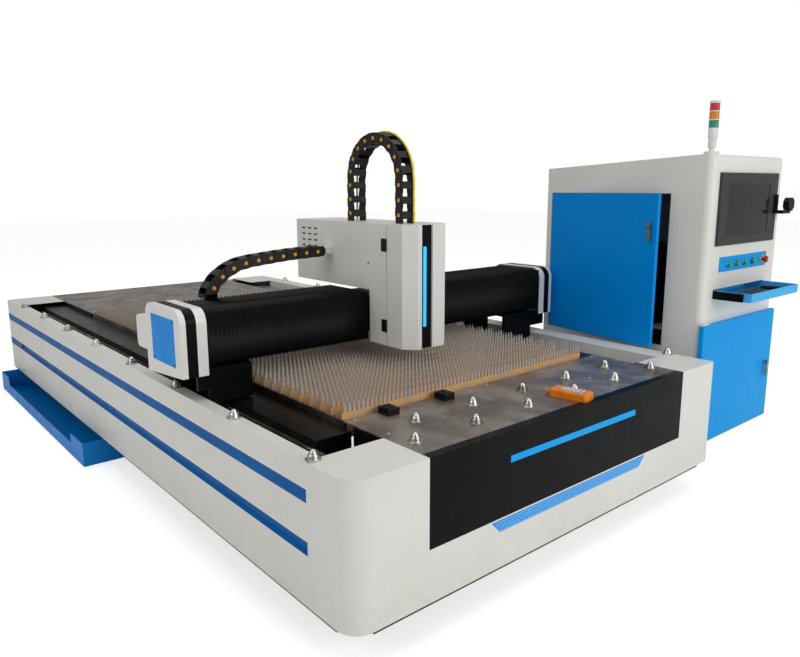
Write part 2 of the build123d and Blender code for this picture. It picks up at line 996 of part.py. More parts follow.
def head_trim():
    trim = block(groove_left + 0.4, groove_right - 0.4, head_front + groove_depth - 4,
                 head_front + groove_depth, head_low + 1, head_top - 1)
    return trim


def light_strip():
    y1 = head_front + groove_depth - 4
    return block(light_left, light_right, y1 - 5, y1, light_low, light_high)


def cover_hinges():
    # leaf hinges on the left side, half of each on the cover and a pin at the seam
    pieces = []
    for z in hinge_rows:
        leaf = block(head_left - hinge_sheet, head_left, head_seam + 1, head_seam + hinge_reach,
                     z - hinge_height / 2, z + hinge_height / 2)
        pin = pin_z(head_left - hinge_pin, head_seam, z - hinge_height / 2, z + hinge_height / 2,
                    hinge_pin - 0.6)
        pieces.append(leaf + pin)
    return pieces


def slide_face():
    return beam_front - cross_rail - runner_gap - carriage_sheet - slide_depth


def head_carriage():
    # plate with four runners on the beam's rails, and the upright slide for the cutting head
    y1 = beam_front - cross_rail
    y_plate = y1 - runner_gap
    plate = block(head_left + carriage_side_gap, head_right - carriage_side_gap,
                  y_plate - carriage_sheet, y_plate, beam_bottom + 4, carriage_top)
    slide = block(head_axis_x - slide_width / 2, head_axis_x + slide_width / 2,
                  slide_face(), y_plate - carriage_sheet, slide_low, slide_top)
    bracket = block(head_left + head_wall, head_right - head_wall, y_plate, y_plate + bracket_depth,
                    carriage_top - bracket_rise, carriage_top)
    pieces = [plate + slide + bracket]
    for z in (beam_bottom + 40, beam_top - 40):
        for x in (head_left + runner_left, head_right - runner_right):
            runner = block(x, x + runner_length, y_plate, beam_front - 4, z - runner_height / 2,
                           z + runner_height / 2)
            grip = cross_rail / 2 + rail_clearance
            runner -= block(x, x + runner_length, y1 - rail_clearance, beam_front, z - grip, z + grip)
            pieces.append(runner)
    return pieces


def cutting_head():
    # slide plate, square head body, round collimator above and a cone with its nozzle below
    y_slide = slide_face() - slide_gap
    plate = block(head_axis_x - 45, head_axis_x + 45, y_slide - slide_plate, y_slide,
                  head_body_low, head_body_high + 60)
    arm = block(head_axis_x - 30, head_axis_x + 30, head_axis_y, y_slide - slide_plate,
                head_body_low + 40, head_body_high - 40)
    body = block(head_axis_x - head_body_width / 2, head_axis_x + head_body_width / 2,
                 head_axis_y - head_body_depth / 2, head_axis_y + head_body_depth / 2,
                 head_body_low, head_body_high)
    collimator = post_z(head_axis_x, head_axis_y, head_body_high, head_body_high + 95, 26)
    nozzle = stack([(nozzle_low, nozzle_radius), (nozzle_low + 14, nozzle_radius),
                    (head_body_low, cone_radius)], 12)
    return plate + arm + body + collimator + Pos(head_axis_x, head_axis_y, 0) * nozzle


# Drag chains

def chain(joints, side0, side1, to_solid):
    # link plates along a path of joints, held together by a narrower band at each joint
    half = link_height / 2
    links = []
    for (a0, b0), (a1, b1) in zip(joints, joints[1:]):
        length = math.hypot(a1 - a0, b1 - b0)
        ua, ub = (a1 - a0) / length, (b1 - b0) / length
        for inset, high, margin in ((6.0, half, 0.0), (-4.0, half * 0.55, 6.0)):
            outline = []
            for along, across in ((inset, high), (inset, -high), (length - inset, -high),
                                  (length - inset, high)):
                outline.append((a0 + ua * along - ub * across, b0 + ub * along + ua * across))
            links.append(to_solid(outline, side0 + margin, side1 - margin))
    return links[0].fuse(*links[1:])


def lift_chain_path():
    # up from the cover, over a half circle and down to the cover again, in the YZ plane
    y_front = lift_chain_front
    y_back = lift_chain_front + 2 * lift_chain_radius
    z_mid = lift_chain_spring
    leg = z_mid - head_top - 4
    leg_links = round(leg / link_pitch)
    points = [(y_front, head_top + 4 + i * leg / leg_links) for i in range(leg_links)]
    turns = round(math.pi * lift_chain_radius / link_pitch)
    for i in range(turns + 1):
        angle = math.pi - math.pi * i / turns
        points.append((y_front + lift_chain_radius + lift_chain_radius * math.cos(angle),
                       z_mid + lift_chain_radius * math.sin(angle)))
    points += [(y_back, z_mid - (i + 1) * leg / leg_links) for i in range(leg_links)]
    return points


def lift_chain():
    return chain(lift_chain_path(), lift_chain_left, lift_chain_left + link_width, prism_x)


def cross_chain_path():
    # from the side of the head cover to the left, sagging more and more towards its foot
    x, z = head_left - chain_bracket, cross_chain_end
    points = [(x, z)]
    for slope in cross_chain_slopes:
        x -= link_pitch * math.cos(math.radians(slope))
        z -= link_pitch * math.sin(math.radians(slope))
        points.append((x, z))
    return points


def cross_chain():
    links = chain(cross_chain_path(), cross_chain_front, cross_chain_front + link_width, prism_y)
    side = cross_chain_front + link_width
    foot = block(chain_foot_left, chain_foot_right, cross_chain_front, side, chain_foot_low,
                 chain_foot_high)
    bracket = block(head_left - chain_bracket - 12, head_left, cross_chain_front + 8, side - 8,
                    cross_chain_end - bracket_height / 2, cross_chain_end + bracket_height / 2)
    above = block(0, head_left, cross_chain_front, side, chain_foot_low, lift_chain_spring)
    return (links & above) + foot + bracket


# Cabinet

def cabinet_outline(inset):
    return [
        (cab_front + inset, cab_low + inset),
        (cab_rear - inset, cab_low + inset),
        (cab_rear - inset, cab_top_rear - inset),
        (cab_front + inset, cab_top_front - inset),
    ]


def cabinet_form(inset):
    form = prism_x(cabinet_outline(inset), cab_left + inset, cab_right - inset)
    front_edges = form.edges().group_by(Axis.Y)[0]
    soft = front_edges.filter_by(Axis.Z) + front_edges.filter_by(Axis.X).sort_by(Axis.Z)[-1:]
    return fillet(soft, cab_radius - inset)


def pivot_plate_at(x, y, x0, x1, y0, y1, z0):
    # small plate with the hole for a door's pivot pin
    hole = post_z(x, y, z0 - 1, z0 + pivot_plate + 1, pivot_radius + 2 * pivot_play, 8)
    return block(x0, x1, y0, y1, z0, z0 + pivot_plate) - hole


def side_pivot():
    return cab_left + pivot_inset, side_door_hinge - pivot_inset


def front_pivot():
    return front_door_left + pivot_inset, cab_front - door_gap - front_door_sheet / 2


def side_pivot_plates():
    x, y = side_pivot()
    return [pivot_plate_at(x, y, cab_left + cab_wall, x + 3 * pivot_radius, y - 3 * pivot_radius,
                           y + 3 * pivot_radius, z)
            for z in (side_door_low - door_clearance - pivot_plate, side_door_high + door_clearance)]


def front_pivot_plates():
    # the lower door hangs outside the cabinet, on two plates that stand out from its front
    x, y = front_pivot()
    return [pivot_plate_at(x, y, x - 2 * pivot_radius, cab_left + cab_radius + 10,
                           y - 2 * pivot_radius, cab_front + cab_wall, z)
            for z in (front_door_low - door_clearance - pivot_plate, front_door_high + door_clearance)]


def pivot_pins(place, low, high):
    # one pin standing out of each end of a door, on its hinge axis
    x, y = place
    return [pin_z(x, y, z - pivot_length, z + pivot_length, pivot_radius) for z in (low, high)]


def cabinet_body():
    body = cabinet_form(0) - cabinet_form(cab_wall)
    body -= block(cab_left, cab_left + cab_wall, side_door_front - door_clearance,
                  side_door_hinge + hinge_gap, side_door_low - door_clearance,
                  side_door_high + door_clearance)
    body -= block(tray_left - tray_rail_width, tray_right + tray_rail_width, cab_front,
                  cab_front + cab_wall, tray_low, tray_high + 3)
    body -= block(cab_left + cab_radius + door_rim, cab_right - cab_radius - door_rim, cab_front,
                  cab_front + cab_wall, front_door_low + door_rim, shelf_height - door_rim)
    # shelf behind the side door, carried by the other three walls
    shelf = block(cab_left + side_door_sheet + shelf_gap, cab_right - cab_wall,
                  cab_front + shelf_front, cab_rear - cab_wall, shelf_height, shelf_height + cab_wall)
    return body + shelf + side_pivot_plates() + front_pivot_plates()


def laser_source():
    # closed box with cooling ribs on its face, on the shelf inside the cabinet
    x0, x1 = cab_left + source_side, cab_right - source_far
    z0 = shelf_height + cab_wall
    z1 = z0 + source_height
    box = block(x0, x1, source_front, source_back, z0, z1)
    ribs = []
    for i in range(source_ribs):
        y = source_front + 2 * rib_pitch / 3 + i * rib_pitch
        ribs.append(block(x0 - rib_depth, x0, y, y + rib_pitch / 3, z0 + 40, z1 - 40))
    return box + ribs


def front_door():
    door = block(front_door_left, front_door_right, cab_front - door_gap - front_door_sheet,
                 cab_front - door_gap, front_door_low, front_door_high)
    edges = door.edges().filter_by(Axis.Z).group_by(Axis.Y)[0]
    door = chamfer(edges, 4)
    hollow = block(front_door_left + 14, front_door_right - 14, cab_front - door_gap - front_door_sheet + 3,
                   cab_front - door_gap, front_door_low + 14, front_door_high - 14)
    return (door - hollow) + pivot_pins(front_pivot(), front_door_low, front_door_high)


def front_door_handle():
    y1 = cab_front - door_gap - front_door_sheet
    grip = block(front_handle_x - handle_width / 2, front_handle_x + handle_width / 2,
                 y1 - handle_depth, y1 - handle_depth + handle_sheet, front_handle_z - handle_length / 2,
                 front_handle_z + handle_length / 2)
    grip = chamfer(grip.edges().filter_by(Axis.Y), 5)
    post = pin_y(front_handle_x, front_handle_z + handle_length / 2 - 14,
                 y1 - handle_depth + handle_sheet, y1, handle_post)
    return grip + post


def side_door_closed():
    door = block(cab_left, cab_left + side_door_sheet, side_door_front, side_door_hinge,
                 side_door_low, side_door_high)
    hollow = block(cab_left + 3, cab_left + side_door_sheet, side_door_front + 14,
                   side_door_hinge - 14, side_door_low + 14, side_door_high - 14)
    return (door - hollow) + pivot_pins(side_pivot(), side_door_low, side_door_high)


def swing_side_door(shape):
    # the door stands a little open, turned about its upright hinge at the rear
    hinge = Axis((*side_pivot(), 0), (0, 0, 1))
    return shape.rotate(hinge, -side_door_angle)


def side_door():
    return swing_side_door(side_door_closed())


def side_door_lock():
    x1 = cab_left
    grip = block(x1 - 11 - handle_sheet, x1 - 11, side_lock_y - handle_width / 2,
                 side_lock_y + handle_width / 2,
                 side_lock_z - handle_length / 2, side_lock_z + handle_length / 2)
    grip = chamfer(grip.edges().filter_by(Axis.X), 5)
    post = pin_x(side_lock_y, side_lock_z + 30, x1 - 11, x1, handle_post)
    return swing_side_door(grip + post)


def monitor_bezel():
    y1 = cab_front
    frame = block(bezel_left, bezel_right, y1 - bezel_depth, y1, bezel_low, bezel_high)
    frame = chamfer(frame.edges().group_by(Axis.Y)[0], 3)
    frame -= block(screen_left, screen_right, y1 - bezel_depth, y1 - bezel_depth + screen_sink,
                   screen_low, screen_high)
    return frame


def monitor_screen():
    y0 = cab_front - bezel_depth + screen_sink - 3
    return block(screen_left, screen_right, y0, y0 + 3, screen_low, screen_high)


def button_panel():
    plate = block(buttons_left, buttons_right, cab_front - buttons_sheet, cab_front, buttons_low,
                  buttons_high)
    holes = [(x, button_stem) for x in button_places] + [(stop_place, stop_stem)]
    for x, radius in holes:
        plate -= post_y(x, button_row_z, cab_front - buttons_sheet - 1, cab_front + 1,
                        radius + stem_clearance, button_facets)
    return plate


def push_button(x):
    y1 = cab_front - buttons_sheet
    cap = post_y(x, button_row_z, y1 - 14, y1 - 7, button_radius, button_facets)
    stem = post_y(x, button_row_z, y1 - 7, y1 + 0.8, button_stem, button_facets)
    return cap + stem


def e_stop():
    y1 = cab_front - buttons_sheet
    knob = stack([(0, stop_stem), (14, stop_stem), (17, stop_radius), (24, stop_radius), (29, 12)],
                 button_facets)
    return Pos(stop_place, y1 + 0.8, button_row_z) * Rot(X=90) * knob


def tower_stem():
    # foot, neck, pole and sleeve below the lenses, and the cap above them
    roof = cab_top_front + (tower_y - cab_front) * (cab_top_rear - cab_top_front) / (
        cab_rear - cab_front)
    foot = post_z(tower_x, tower_y, roof - 6, roof + tower_base_height, tower_base, tower_facets)
    foot -= prism_x(cabinet_outline(0), cab_left, cab_right)
    z_neck = roof + tower_base_height
    z_pole = z_neck + tower_neck_height
    z_sleeve = z_pole + tower_pole_height
    neck = post_z(tower_x, tower_y, z_neck, z_pole, tower_neck, tower_facets)
    pole = post_z(tower_x, tower_y, z_pole, z_sleeve, tower_pole, tower_facets)
    sleeve = post_z(tower_x, tower_y, z_sleeve, tower_stem_top, tower_sleeve, tower_facets)
    top = tower_stem_top + 3 * lens_height
    cap = post_z(tower_x, tower_y, top, top + tower_cap, tower_radius, tower_facets)
    return [foot + neck + pole + sleeve, cap]


def tower_lens(level):
    z0 = tower_stem_top + level * lens_height
    return post_z(tower_x, tower_y, z0, z0 + lens_height, tower_radius, tower_facets)


def camera_holder():
    # small camera on a bent arm, clipped to the monitor's right edge
    y1 = cab_front - bezel_depth
    y0 = y1 - camera_out
    bar = block(camera_left, camera_left + 22, y1 - 16, y1, camera_low, camera_high)
    out = block(camera_left, camera_left + 22, y0 + 8, y1 - 16, camera_low, camera_low + 20)
    head_x = camera_right - camera_head
    arm = block(camera_left, head_x + 10, y0 + 8, y0 + 24, camera_low, camera_low + 20)
    head_z = camera_low + 14 + camera_head
    head = prism_y([(head_x + camera_head * a, head_z + camera_head * b) for a, b in
                    ring(0, 0, 1 / math.cos(math.pi / 8), 8)], y0, y0 + 34)
    return bar + out + arm + head


# Keyboard tray

def tray_rails():
    # one rail along each side of the tray, joined behind it inside the cabinet
    y1 = cab_front + tray_depth
    pieces = []
    for x0 in (tray_left - tray_rail_width, tray_right):
        pieces.append(block(x0, x0 + tray_rail_width, tray_front + 40, y1, tray_low, tray_rail_high))
    back = block(tray_left, tray_right, y1 - 6, y1, tray_low, tray_rail_high)
    return [pieces[0] + pieces[1] + back]


def keyboard_tray():
    tray = block(tray_left, tray_right, tray_front, tray_front + tray_depth, tray_low, tray_high)
    tray -= block(tray_left + tray_sheet, tray_right - tray_sheet, tray_front + tray_sheet,
                  tray_front + tray_depth - tray_sheet, tray_low + tray_sheet, tray_high)
    return tray


def keyboard():
    base = tray_low + tray_sheet
    body = block(tray_left + 20, tray_left + 425, -35, 100, base, base + keyboard_height)
    return chamfer(body.edges().group_by(Axis.Z)[-1], 5)


def mouse():
    base = tray_low + tray_sheet
    body = block(tray_right - 112, tray_right - 51, 0, 104, base, base + 30)
    body = chamfer(body.edges().filter_by(Axis.Z), 14)
    return chamfer(body.edges().group_by(Axis.Z)[-1], 9)


def remote_control():
    # flat hand remote with a stub aerial, lying on the deck
    body = Box(remote_length, remote_width, remote_height)
    body = chamfer(body.edges().filter_by(Axis.Z), 10)
    body = chamfer(body.edges().group_by(Axis.Z)[-1], 4)
    stub = prism_x(ring(remote_width / 2 - 18, 0, 9, 8), remote_length / 2 - 3, remote_length / 2 + 19)
    place = Pos(remote_x, remote_y, deck_top + remote_height / 2) * Rot(Z=remote_angle)
    return place * (body + stub)


def main():
    os.makedirs("parts", exist_ok=True)
    save("side_beams", side_beams())
    save("cross_members", cross_members())
    save("levelling_feet", levelling_feet())
    save("side_panels", side_panels())
    save("side_stripes", side_stripes())
    save("front_corner_covers", front_corner_covers())
    save("rear_covers", rear_covers())
    save("front_fascia", [front_fascia()])
    save("fascia_stripe", [fascia_stripe()])
    save("vent_strip", [vent_strip()])
    save("lower_front_panel", [lower_front_panel()])
    save("deck_plates", deck_plates())
    save("ball_housings", ball_housings())
    save("transfer_balls", transfer_balls())
    save("edge_blocks", edge_blocks())
    save("slat_combs", slat_combs())
    save("support_slats", support_slats())
    save("guide_rails", guide_rails())
    save("slag_drawer", [slag_drawer()])

    save("cross_beam", cross_beam())
    save("carriage_plates", carriage_plates())
    save("end_covers", end_covers())
    save("end_bands", end_bands())
    save("end_panels", end_panels())
    save("drive_motors", drive_motors())
    save("bellows_left", [bellows(gantry_left + cover_width + bellows_gap, head_left - bellows_gap)])
    save("bellows_right", [bellows(head_right + bellows_gap,
                                   gantry_right - cover_width - bellows_gap)])
    save("cross_chain", [cross_chain()])

    save("head_cover", [head_cover()])
    save("head_door", [head_door()])
    save("head_trim", [head_trim()])
    save("light_strip", [light_strip()])
    save("cover_hinges", cover_hinges())
    save("head_carriage", head_carriage())
    save("lift_chain", [lift_chain()])
    save("cutting_head", [cutting_head()])

    save("cabinet_body", [cabinet_body()])
    save("laser_source", [laser_source()])
    save("front_door", [front_door()])
    save("front_door_handle", [front_door_handle()])
    save("side_door", [side_door()])
    save("side_door_lock", [side_door_lock()])
    save("monitor_bezel", [monitor_bezel()])
    save("monitor_screen", [monitor_screen()])
    save("button_panel", [button_panel()])
    for number, x in enumerate(button_places, start=1):
        save(f"push_button_{number}", [push_button(x)])
    save("e_stop", [e_stop()])
    save("tower_stem", tower_stem())
    save("tower_green", [tower_lens(0)])
    save("tower_amber", [tower_lens(1)])
    save("tower_red", [tower_lens(2)])
    save("camera_holder", [camera_holder()])
    save("tray_rails", tray_rails())
    save("keyboard_tray", [keyboard_tray()])
    save("keyboard", [keyboard()])
    save("mouse", [mouse()])
    save("remote_control", [remote_control()])


main()
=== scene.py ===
import math
import random

import bmesh
import bpy
import numpy as np
from mathutils import Matrix, Vector


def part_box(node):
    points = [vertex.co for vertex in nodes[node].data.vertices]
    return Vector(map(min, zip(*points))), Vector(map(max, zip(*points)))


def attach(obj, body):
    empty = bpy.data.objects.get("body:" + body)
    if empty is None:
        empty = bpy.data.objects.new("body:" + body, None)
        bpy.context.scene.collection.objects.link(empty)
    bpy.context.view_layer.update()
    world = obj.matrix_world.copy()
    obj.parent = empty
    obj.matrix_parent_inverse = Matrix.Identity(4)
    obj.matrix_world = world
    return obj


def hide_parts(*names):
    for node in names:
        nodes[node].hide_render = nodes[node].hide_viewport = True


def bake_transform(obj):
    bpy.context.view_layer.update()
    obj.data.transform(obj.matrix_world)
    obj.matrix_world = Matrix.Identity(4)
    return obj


# Flat-bed laser cutting machine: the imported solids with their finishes, and the fine pieces round
# them. Places are written in millimetres from the bed's front left corner on the floor, as x, y, z.

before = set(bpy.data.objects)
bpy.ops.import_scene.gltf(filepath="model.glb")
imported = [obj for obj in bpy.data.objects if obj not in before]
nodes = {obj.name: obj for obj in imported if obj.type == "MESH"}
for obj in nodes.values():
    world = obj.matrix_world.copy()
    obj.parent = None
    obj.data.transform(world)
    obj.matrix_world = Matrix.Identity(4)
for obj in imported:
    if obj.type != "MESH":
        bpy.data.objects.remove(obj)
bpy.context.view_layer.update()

BED_CORNER = Vector((1.583, 2.2785, 0.0))
MM = 0.001
BED_WIDTH, DECK_TOP = 2300.0, 684.0


def at(x, y, z):
    return Vector((x, y, z)) * MM - BED_CORNER


# Colours and material nodes

def linear(code):
    # sRGB hex to the linear colour that a shader takes
    values = [int(code[i:i + 2], 16) / 255 for i in (1, 3, 5)]
    return [v / 12.92 if v <= 0.04045 else ((v + 0.055) / 1.055) ** 2.4 for v in values] + [1.0]


def node(tree, kind, settings=None, inputs=None):
    # adds one node, sets its properties, and sets or links its sockets
    made = tree.nodes.new(kind)
    for key, value in (settings or {}).items():
        setattr(made, key, value)
    for key, value in (inputs or {}).items():
        if isinstance(value, bpy.types.NodeSocket):
            tree.links.new(value, made.inputs[key])
        else:
            made.inputs[key].default_value = value
    return made


def finish(name, colour, roughness, metallic=0.0, coat=0.0, gloss=0.5):
    material = bpy.data.materials.new(name)
    material.use_nodes = True
    tree = material.node_tree
    shader = tree.nodes["Principled BSDF"]
    shader.inputs["Base Color"].default_value = linear(colour)
    shader.inputs["Roughness"].default_value = roughness
    shader.inputs["Metallic"].default_value = metallic
    shader.inputs["Coat Weight"].default_value = coat
    shader.inputs["Coat Roughness"].default_value = 0.08
    shader.inputs["Specular IOR Level"].default_value = gloss
    return material, tree, shader


def place(tree, stretch=(1.0, 1.0, 1.0)):
    where = node(tree, "ShaderNodeTexCoord").outputs["Object"]
    return node(tree, "ShaderNodeMapping", None, {"Vector": where, "Scale": stretch}).outputs[0]


def grain(tree, size, detail=4.0, stretch=(1.0, 1.0, 1.0)):
    # noise whose features are about size millimetres across
    return node(tree, "ShaderNodeTexNoise", None, {
        "Vector": place(tree, stretch), "Scale": 1.0 / (size * MM), "Detail": detail}).outputs[0]


def span(tree, value, low, high, to_low=0.0, to_high=1.0):
    return node(tree, "ShaderNodeMapRange", {"interpolation_type": "SMOOTHSTEP"}, {
        "Value": value, "From Min": low, "From Max": high,
        "To Min": to_low, "To Max": to_high}).outputs[0]


def blend_colour(tree, share, first, second):
    first = linear(first) if isinstance(first, str) else first
    second = linear(second) if isinstance(second, str) else second
    mix = node(tree, "ShaderNodeMix", {"data_type": "RGBA"}, {0: share, 6: first, 7: second})
    return mix.outputs[2]


def times(tree, first, second):
    return node(tree, "ShaderNodeMath", {"operation": "MULTIPLY"}, {0: first, 1: second}).outputs[0]


def relief(tree, shader, height, depth):
    # bump of depth millimetres
    bump = node(tree, "ShaderNodeBump", None, {
        "Height": height, "Distance": depth * MM, "Strength": 1.0})
    tree.links.new(bump.outputs[0], shader.inputs["Normal"])


def coated_sheet(name, colour, shade, roughness, coat=0.0, floor_shade=0.0, gloss=0.5):
    # powder coat on folded sheet steel: an even satin skin with a faint orange peel, a little
    # uneven over a metre, and with a painted shade that darkens it in blotches towards the floor
    material, tree, shader = finish(name, colour, roughness, coat=coat, gloss=gloss)
    broad = span(tree, grain(tree, 420.0, 3.0), 0.35, 0.7)
    tone = blend_colour(tree, times(tree, broad, 0.35), colour, shade)
    # painted shade: the colour goes darker towards the floor, broken into blotches by noise
    if floor_shade:
        height = node(tree, "ShaderNodeSeparateXYZ", None, {0: place(tree)}).outputs[2]
        low = span(tree, height, 0.15, 0.36, floor_shade, 0.0)
        dust_and_shade = times(tree, low, span(tree, grain(tree, 60.0, 6.0), 0.3, 0.75))
        tone = blend_colour(tree, dust_and_shade, tone, "#8F8A80")
    tree.links.new(tone, shader.inputs["Base Color"])
    peel = grain(tree, 5.0, 2.0)
    rough = span(tree, grain(tree, 90.0, 5.0), 0.3, 0.7, roughness - 0.04, roughness + 0.06)
    tree.links.new(rough, shader.inputs["Roughness"])
    relief(tree, shader, peel, 0.05)
    return material


def mill_steel(name):
    # hot-rolled deck plate: dark blue-brown mill scale, cloudy, with bright scuffs and dull oil marks
    material, tree, shader = finish(name, "#857B74", 0.38, metallic=0.6)
    cloud = span(tree, grain(tree, 160.0, 6.0), 0.35, 0.68)
    tone = blend_colour(tree, cloud, "#736962", "#9C928A")
    scratch = span(tree, grain(tree, 9.0, 4.0, (0.06, 1.0, 1.0)), 0.66, 0.74)
    cross = span(tree, grain(tree, 9.0, 4.0, (1.0, 0.05, 1.0)), 0.68, 0.76)
    tone = blend_colour(tree, times(tree, scratch, 0.5), tone, "#A8A29B")
    tone = blend_colour(tree, times(tree, cross, 0.4), tone, "#A8A29B")
    tree.links.new(tone, shader.inputs["Base Color"])
    rough = span(tree, grain(tree, 70.0, 5.0), 0.3, 0.72, 0.26, 0.52)
    tree.links.new(rough, shader.inputs["Roughness"])
    relief(tree, shader, grain(tree, 14.0, 5.0), 0.12)
    return material


def slat_steel(name):
    # laser-cut support bars: tan rust on their flanks near the operator, grey scale further off,
    # spikes dulled by heat and spatter
    material, tree, shader = finish(name, "#A39A8C", 0.6, metallic=0.1)
    axes = node(tree, "ShaderNodeSeparateXYZ", None, {0: place(tree)}).outputs
    near = span(tree, axes[1], -1.79, -0.6, 1.0, 0.25)
    patchy = span(tree, grain(tree, 45.0, 6.0), 0.25, 0.6)
    rust = times(tree, near, patchy)
    flank = blend_colour(tree, rust, "#B0A99F", "#E0AE74")
    flank = blend_colour(tree, span(tree, grain(tree, 9.0, 5.0), 0.55, 0.8), flank, "#B8763C")
    spike = span(tree, axes[2], 0.706, 0.724)
    burnt = times(tree, spike, span(tree, grain(tree, 22.0, 4.0), 0.1, 0.6, 0.6, 1.0))
    tone = blend_colour(tree, burnt, flank, "#B4AFA8")
    tree.links.new(tone, shader.inputs["Base Color"])
    relief(tree, shader, grain(tree, 3.5, 4.0), 0.25)
    return material


def machined_steel(name, colour="#8F8E8B", roughness=0.3):
    # ground or milled steel: fine lines one way, bright but not mirror-like, with a film of oil
    material, tree, shader = finish(name, colour, roughness, metallic=1.0)
    lines = grain(tree, 2.5, 3.0, (1.0, 0.04, 1.0))
    rough = span(tree, lines, 0.3, 0.7, roughness - 0.08, roughness + 0.12)
    tree.links.new(rough, shader.inputs["Roughness"])
    tone = blend_colour(tree, span(tree, grain(tree, 120.0, 4.0), 0.3, 0.7), colour, "#6E6A64")
    tree.links.new(tone, shader.inputs["Base Color"])
    relief(tree, shader, lines, 0.03)
    return material


def bearing_ball(name):
    # hardened chrome steel ball: mirror bright, with faint rolling marks
    material, tree, shader = finish(name, "#D9DADA", 0.12, metallic=1.0)
    rough = span(tree, grain(tree, 3.0, 4.0), 0.4, 0.7, 0.08, 0.22)
    tree.links.new(rough, shader.inputs["Roughness"])
    return material


def coated_fabric(name):
    # PVC-coated polyester of the bellows: dense glossy black with a fine woven grain, drawn at
    # 3 mm instead of its real 0.5 mm so that it shows
    material, tree, shader = finish(name, "#060608", 0.4, gloss=0.12)
    weave = node(tree, "ShaderNodeTexWave", {"bands_direction": "Z"}, {
        "Vector": place(tree), "Scale": 105.0, "Distortion": 0.4}).outputs[1]
    dust_and_shade = span(tree, grain(tree, 70.0, 6.0), 0.45, 0.75)
    tone = blend_colour(tree, times(tree, dust_and_shade, 0.3), "#070709", "#1B1B1D")
    tree.links.new(tone, shader.inputs["Base Color"])
    relief(tree, shader, weave, 0.06)
    return material


def moulded_plastic(name, colour, shade, roughness=0.45, grit=1.8, gloss=0.4):
    # injection-moulded nylon or ABS: even colour, fine spark-eroded grain, soft highlights
    material, tree, shader = finish(name, colour, roughness, gloss=gloss)
    tone = blend_colour(tree, span(tree, grain(tree, 35.0, 5.0), 0.35, 0.75), colour, shade)
    tree.links.new(tone, shader.inputs["Base Color"])
    rough = span(tree, grain(tree, 18.0, 4.0), 0.3, 0.7, roughness - 0.07, roughness + 0.07)
    tree.links.new(rough, shader.inputs["Roughness"])
    relief(tree, shader, grain(tree, grit, 2.0), 0.06)
    return material


def lit_diffuser(name, colour, strength):
    # opal acrylic in front of a row of diodes: the colour glows, a little stronger at the diodes
    material, tree, shader = finish(name, colour, 0.3)
    diodes = node(tree, "ShaderNodeTexWave", {"bands_direction": "Z"}, {
        "Vector": place(tree), "Scale": 16.0}).outputs[1]
    glow = span(tree, diodes, 0.0, 1.0, 0.8, 1.0)
    tone = blend_colour(tree, glow, "#0A86D8", colour)
    tree.links.new(tone, shader.inputs["Emission Color"])
    shader.inputs["Emission Strength"].default_value = strength
    return material


def lamp_lens(name, colour, shade):
    # ribbed polycarbonate lens: strong see-in colour, glossy skin, with painted shade in the grooves
    material, tree, shader = finish(name, colour, 0.18, coat=0.4)
    ribs = node(tree, "ShaderNodeTexWave", {"bands_direction": "Z", "wave_profile": "SIN"}, {
        "Vector": place(tree), "Scale": 52.0}).outputs[1]
    # painted shade: the grooves between the ribs take the darker colour
    tone = blend_colour(tree, span(tree, ribs, 0.1, 0.9), shade, colour)
    tree.links.new(tone, shader.inputs["Base Color"])
    tree.links.new(tone, shader.inputs["Emission Color"])
    shader.inputs["Emission Strength"].default_value = 0.15
    relief(tree, shader, ribs, 0.6)
    return material


def screen_glass(name):
    # switched-off monitor: near-black glass with an even gloss and a few wiped smears
    material, tree, shader = finish(name, "#1B1C20", 0.14, gloss=0.35)
    smear = span(tree, grain(tree, 60.0, 4.0, (0.3, 1.0, 1.0)), 0.5, 0.8, 0.1, 0.3)
    tree.links.new(smear, shader.inputs["Roughness"])
    tone = blend_colour(tree, grain(tree, 300.0, 2.0), "#17181B", "#24252A")
    tree.links.new(tone, shader.inputs["Base Color"])
    return material


WHITE = coated_sheet("powder-coated white steel", "#E3E2DC", "#D6D5CE", 0.38, 0.1, floor_shade=0.12)
HOOD_WHITE = coated_sheet("powder-coated white hood", "#E6E5E1", "#D9D8D3", 0.36, 0.12)
STRIPE_BLUE = coated_sheet("blue powder coat", "#005FA8", "#00589C", 0.36, gloss=0.06)
DRAWER_BLUE = coated_sheet("blue drawer coat", "#0085DC", "#0079CC", 0.34, gloss=0.2)
DOOR_BLUE = coated_sheet("blue enamel door", "#008FE8", "#0086DC", 0.3, gloss=0.08)
FRONT_BLUE = coated_sheet("bright blue enamel door", "#009CE8", "#0094DC", 0.3, gloss=0.06)
VENT_BLUE = coated_sheet("perforated blue sheet", "#0A9AEE", "#0890E4", 0.42, gloss=0.2)
BLACK_COAT = coated_sheet("black powder coat", "#050606", "#0A0B0B", 0.36, gloss=0.1)
FRAME_COAT = coated_sheet("dark frame paint", "#0C0D0E", "#141516", 0.4, gloss=0.2)
TROUGH_COAT = coated_sheet("black rail bed paint", "#060607", "#12100F", 0.3, gloss=0.25)
TRAY_BLUE = coated_sheet("light blue tray coat", "#3CB2F0", "#32A6E4", 0.34, gloss=0.3)
CYAN_TRIM = coated_sheet("cyan trim", "#00A4EF", "#009BE6", 0.32, gloss=0.15)
DECK_STEEL = mill_steel("hot-rolled deck plate")
SLAT_STEEL = slat_steel("laser-cut support steel")
BARE_STEEL = machined_steel("ground steel")
DARK_STEEL = machined_steel("blackened screw steel", "#3C3C3D", 0.38)
BRIGHT_STEEL = machined_steel("bright zinc-plated steel", "#D4D4D1", 0.24)
HANDLE_STEEL = machined_steel("satin chrome-plated handle", "#C9C9C6", 0.28)
BALL_STEEL = bearing_ball("bearing ball steel")
BELLOWS_CLOTH = coated_fabric("coated bellows fabric")
CHAIN_NYLON = moulded_plastic("glass-filled nylon", "#141416", "#242427", 0.38, gloss=0.3)
CHAIN_DOT = moulded_plastic("orange pivot plug", "#E9A21C", "#D08A10", 0.4)
BLACK_ABS = moulded_plastic("black moulded plastic", "#0C0D0F", "#17181A", 0.38, gloss=0.2)
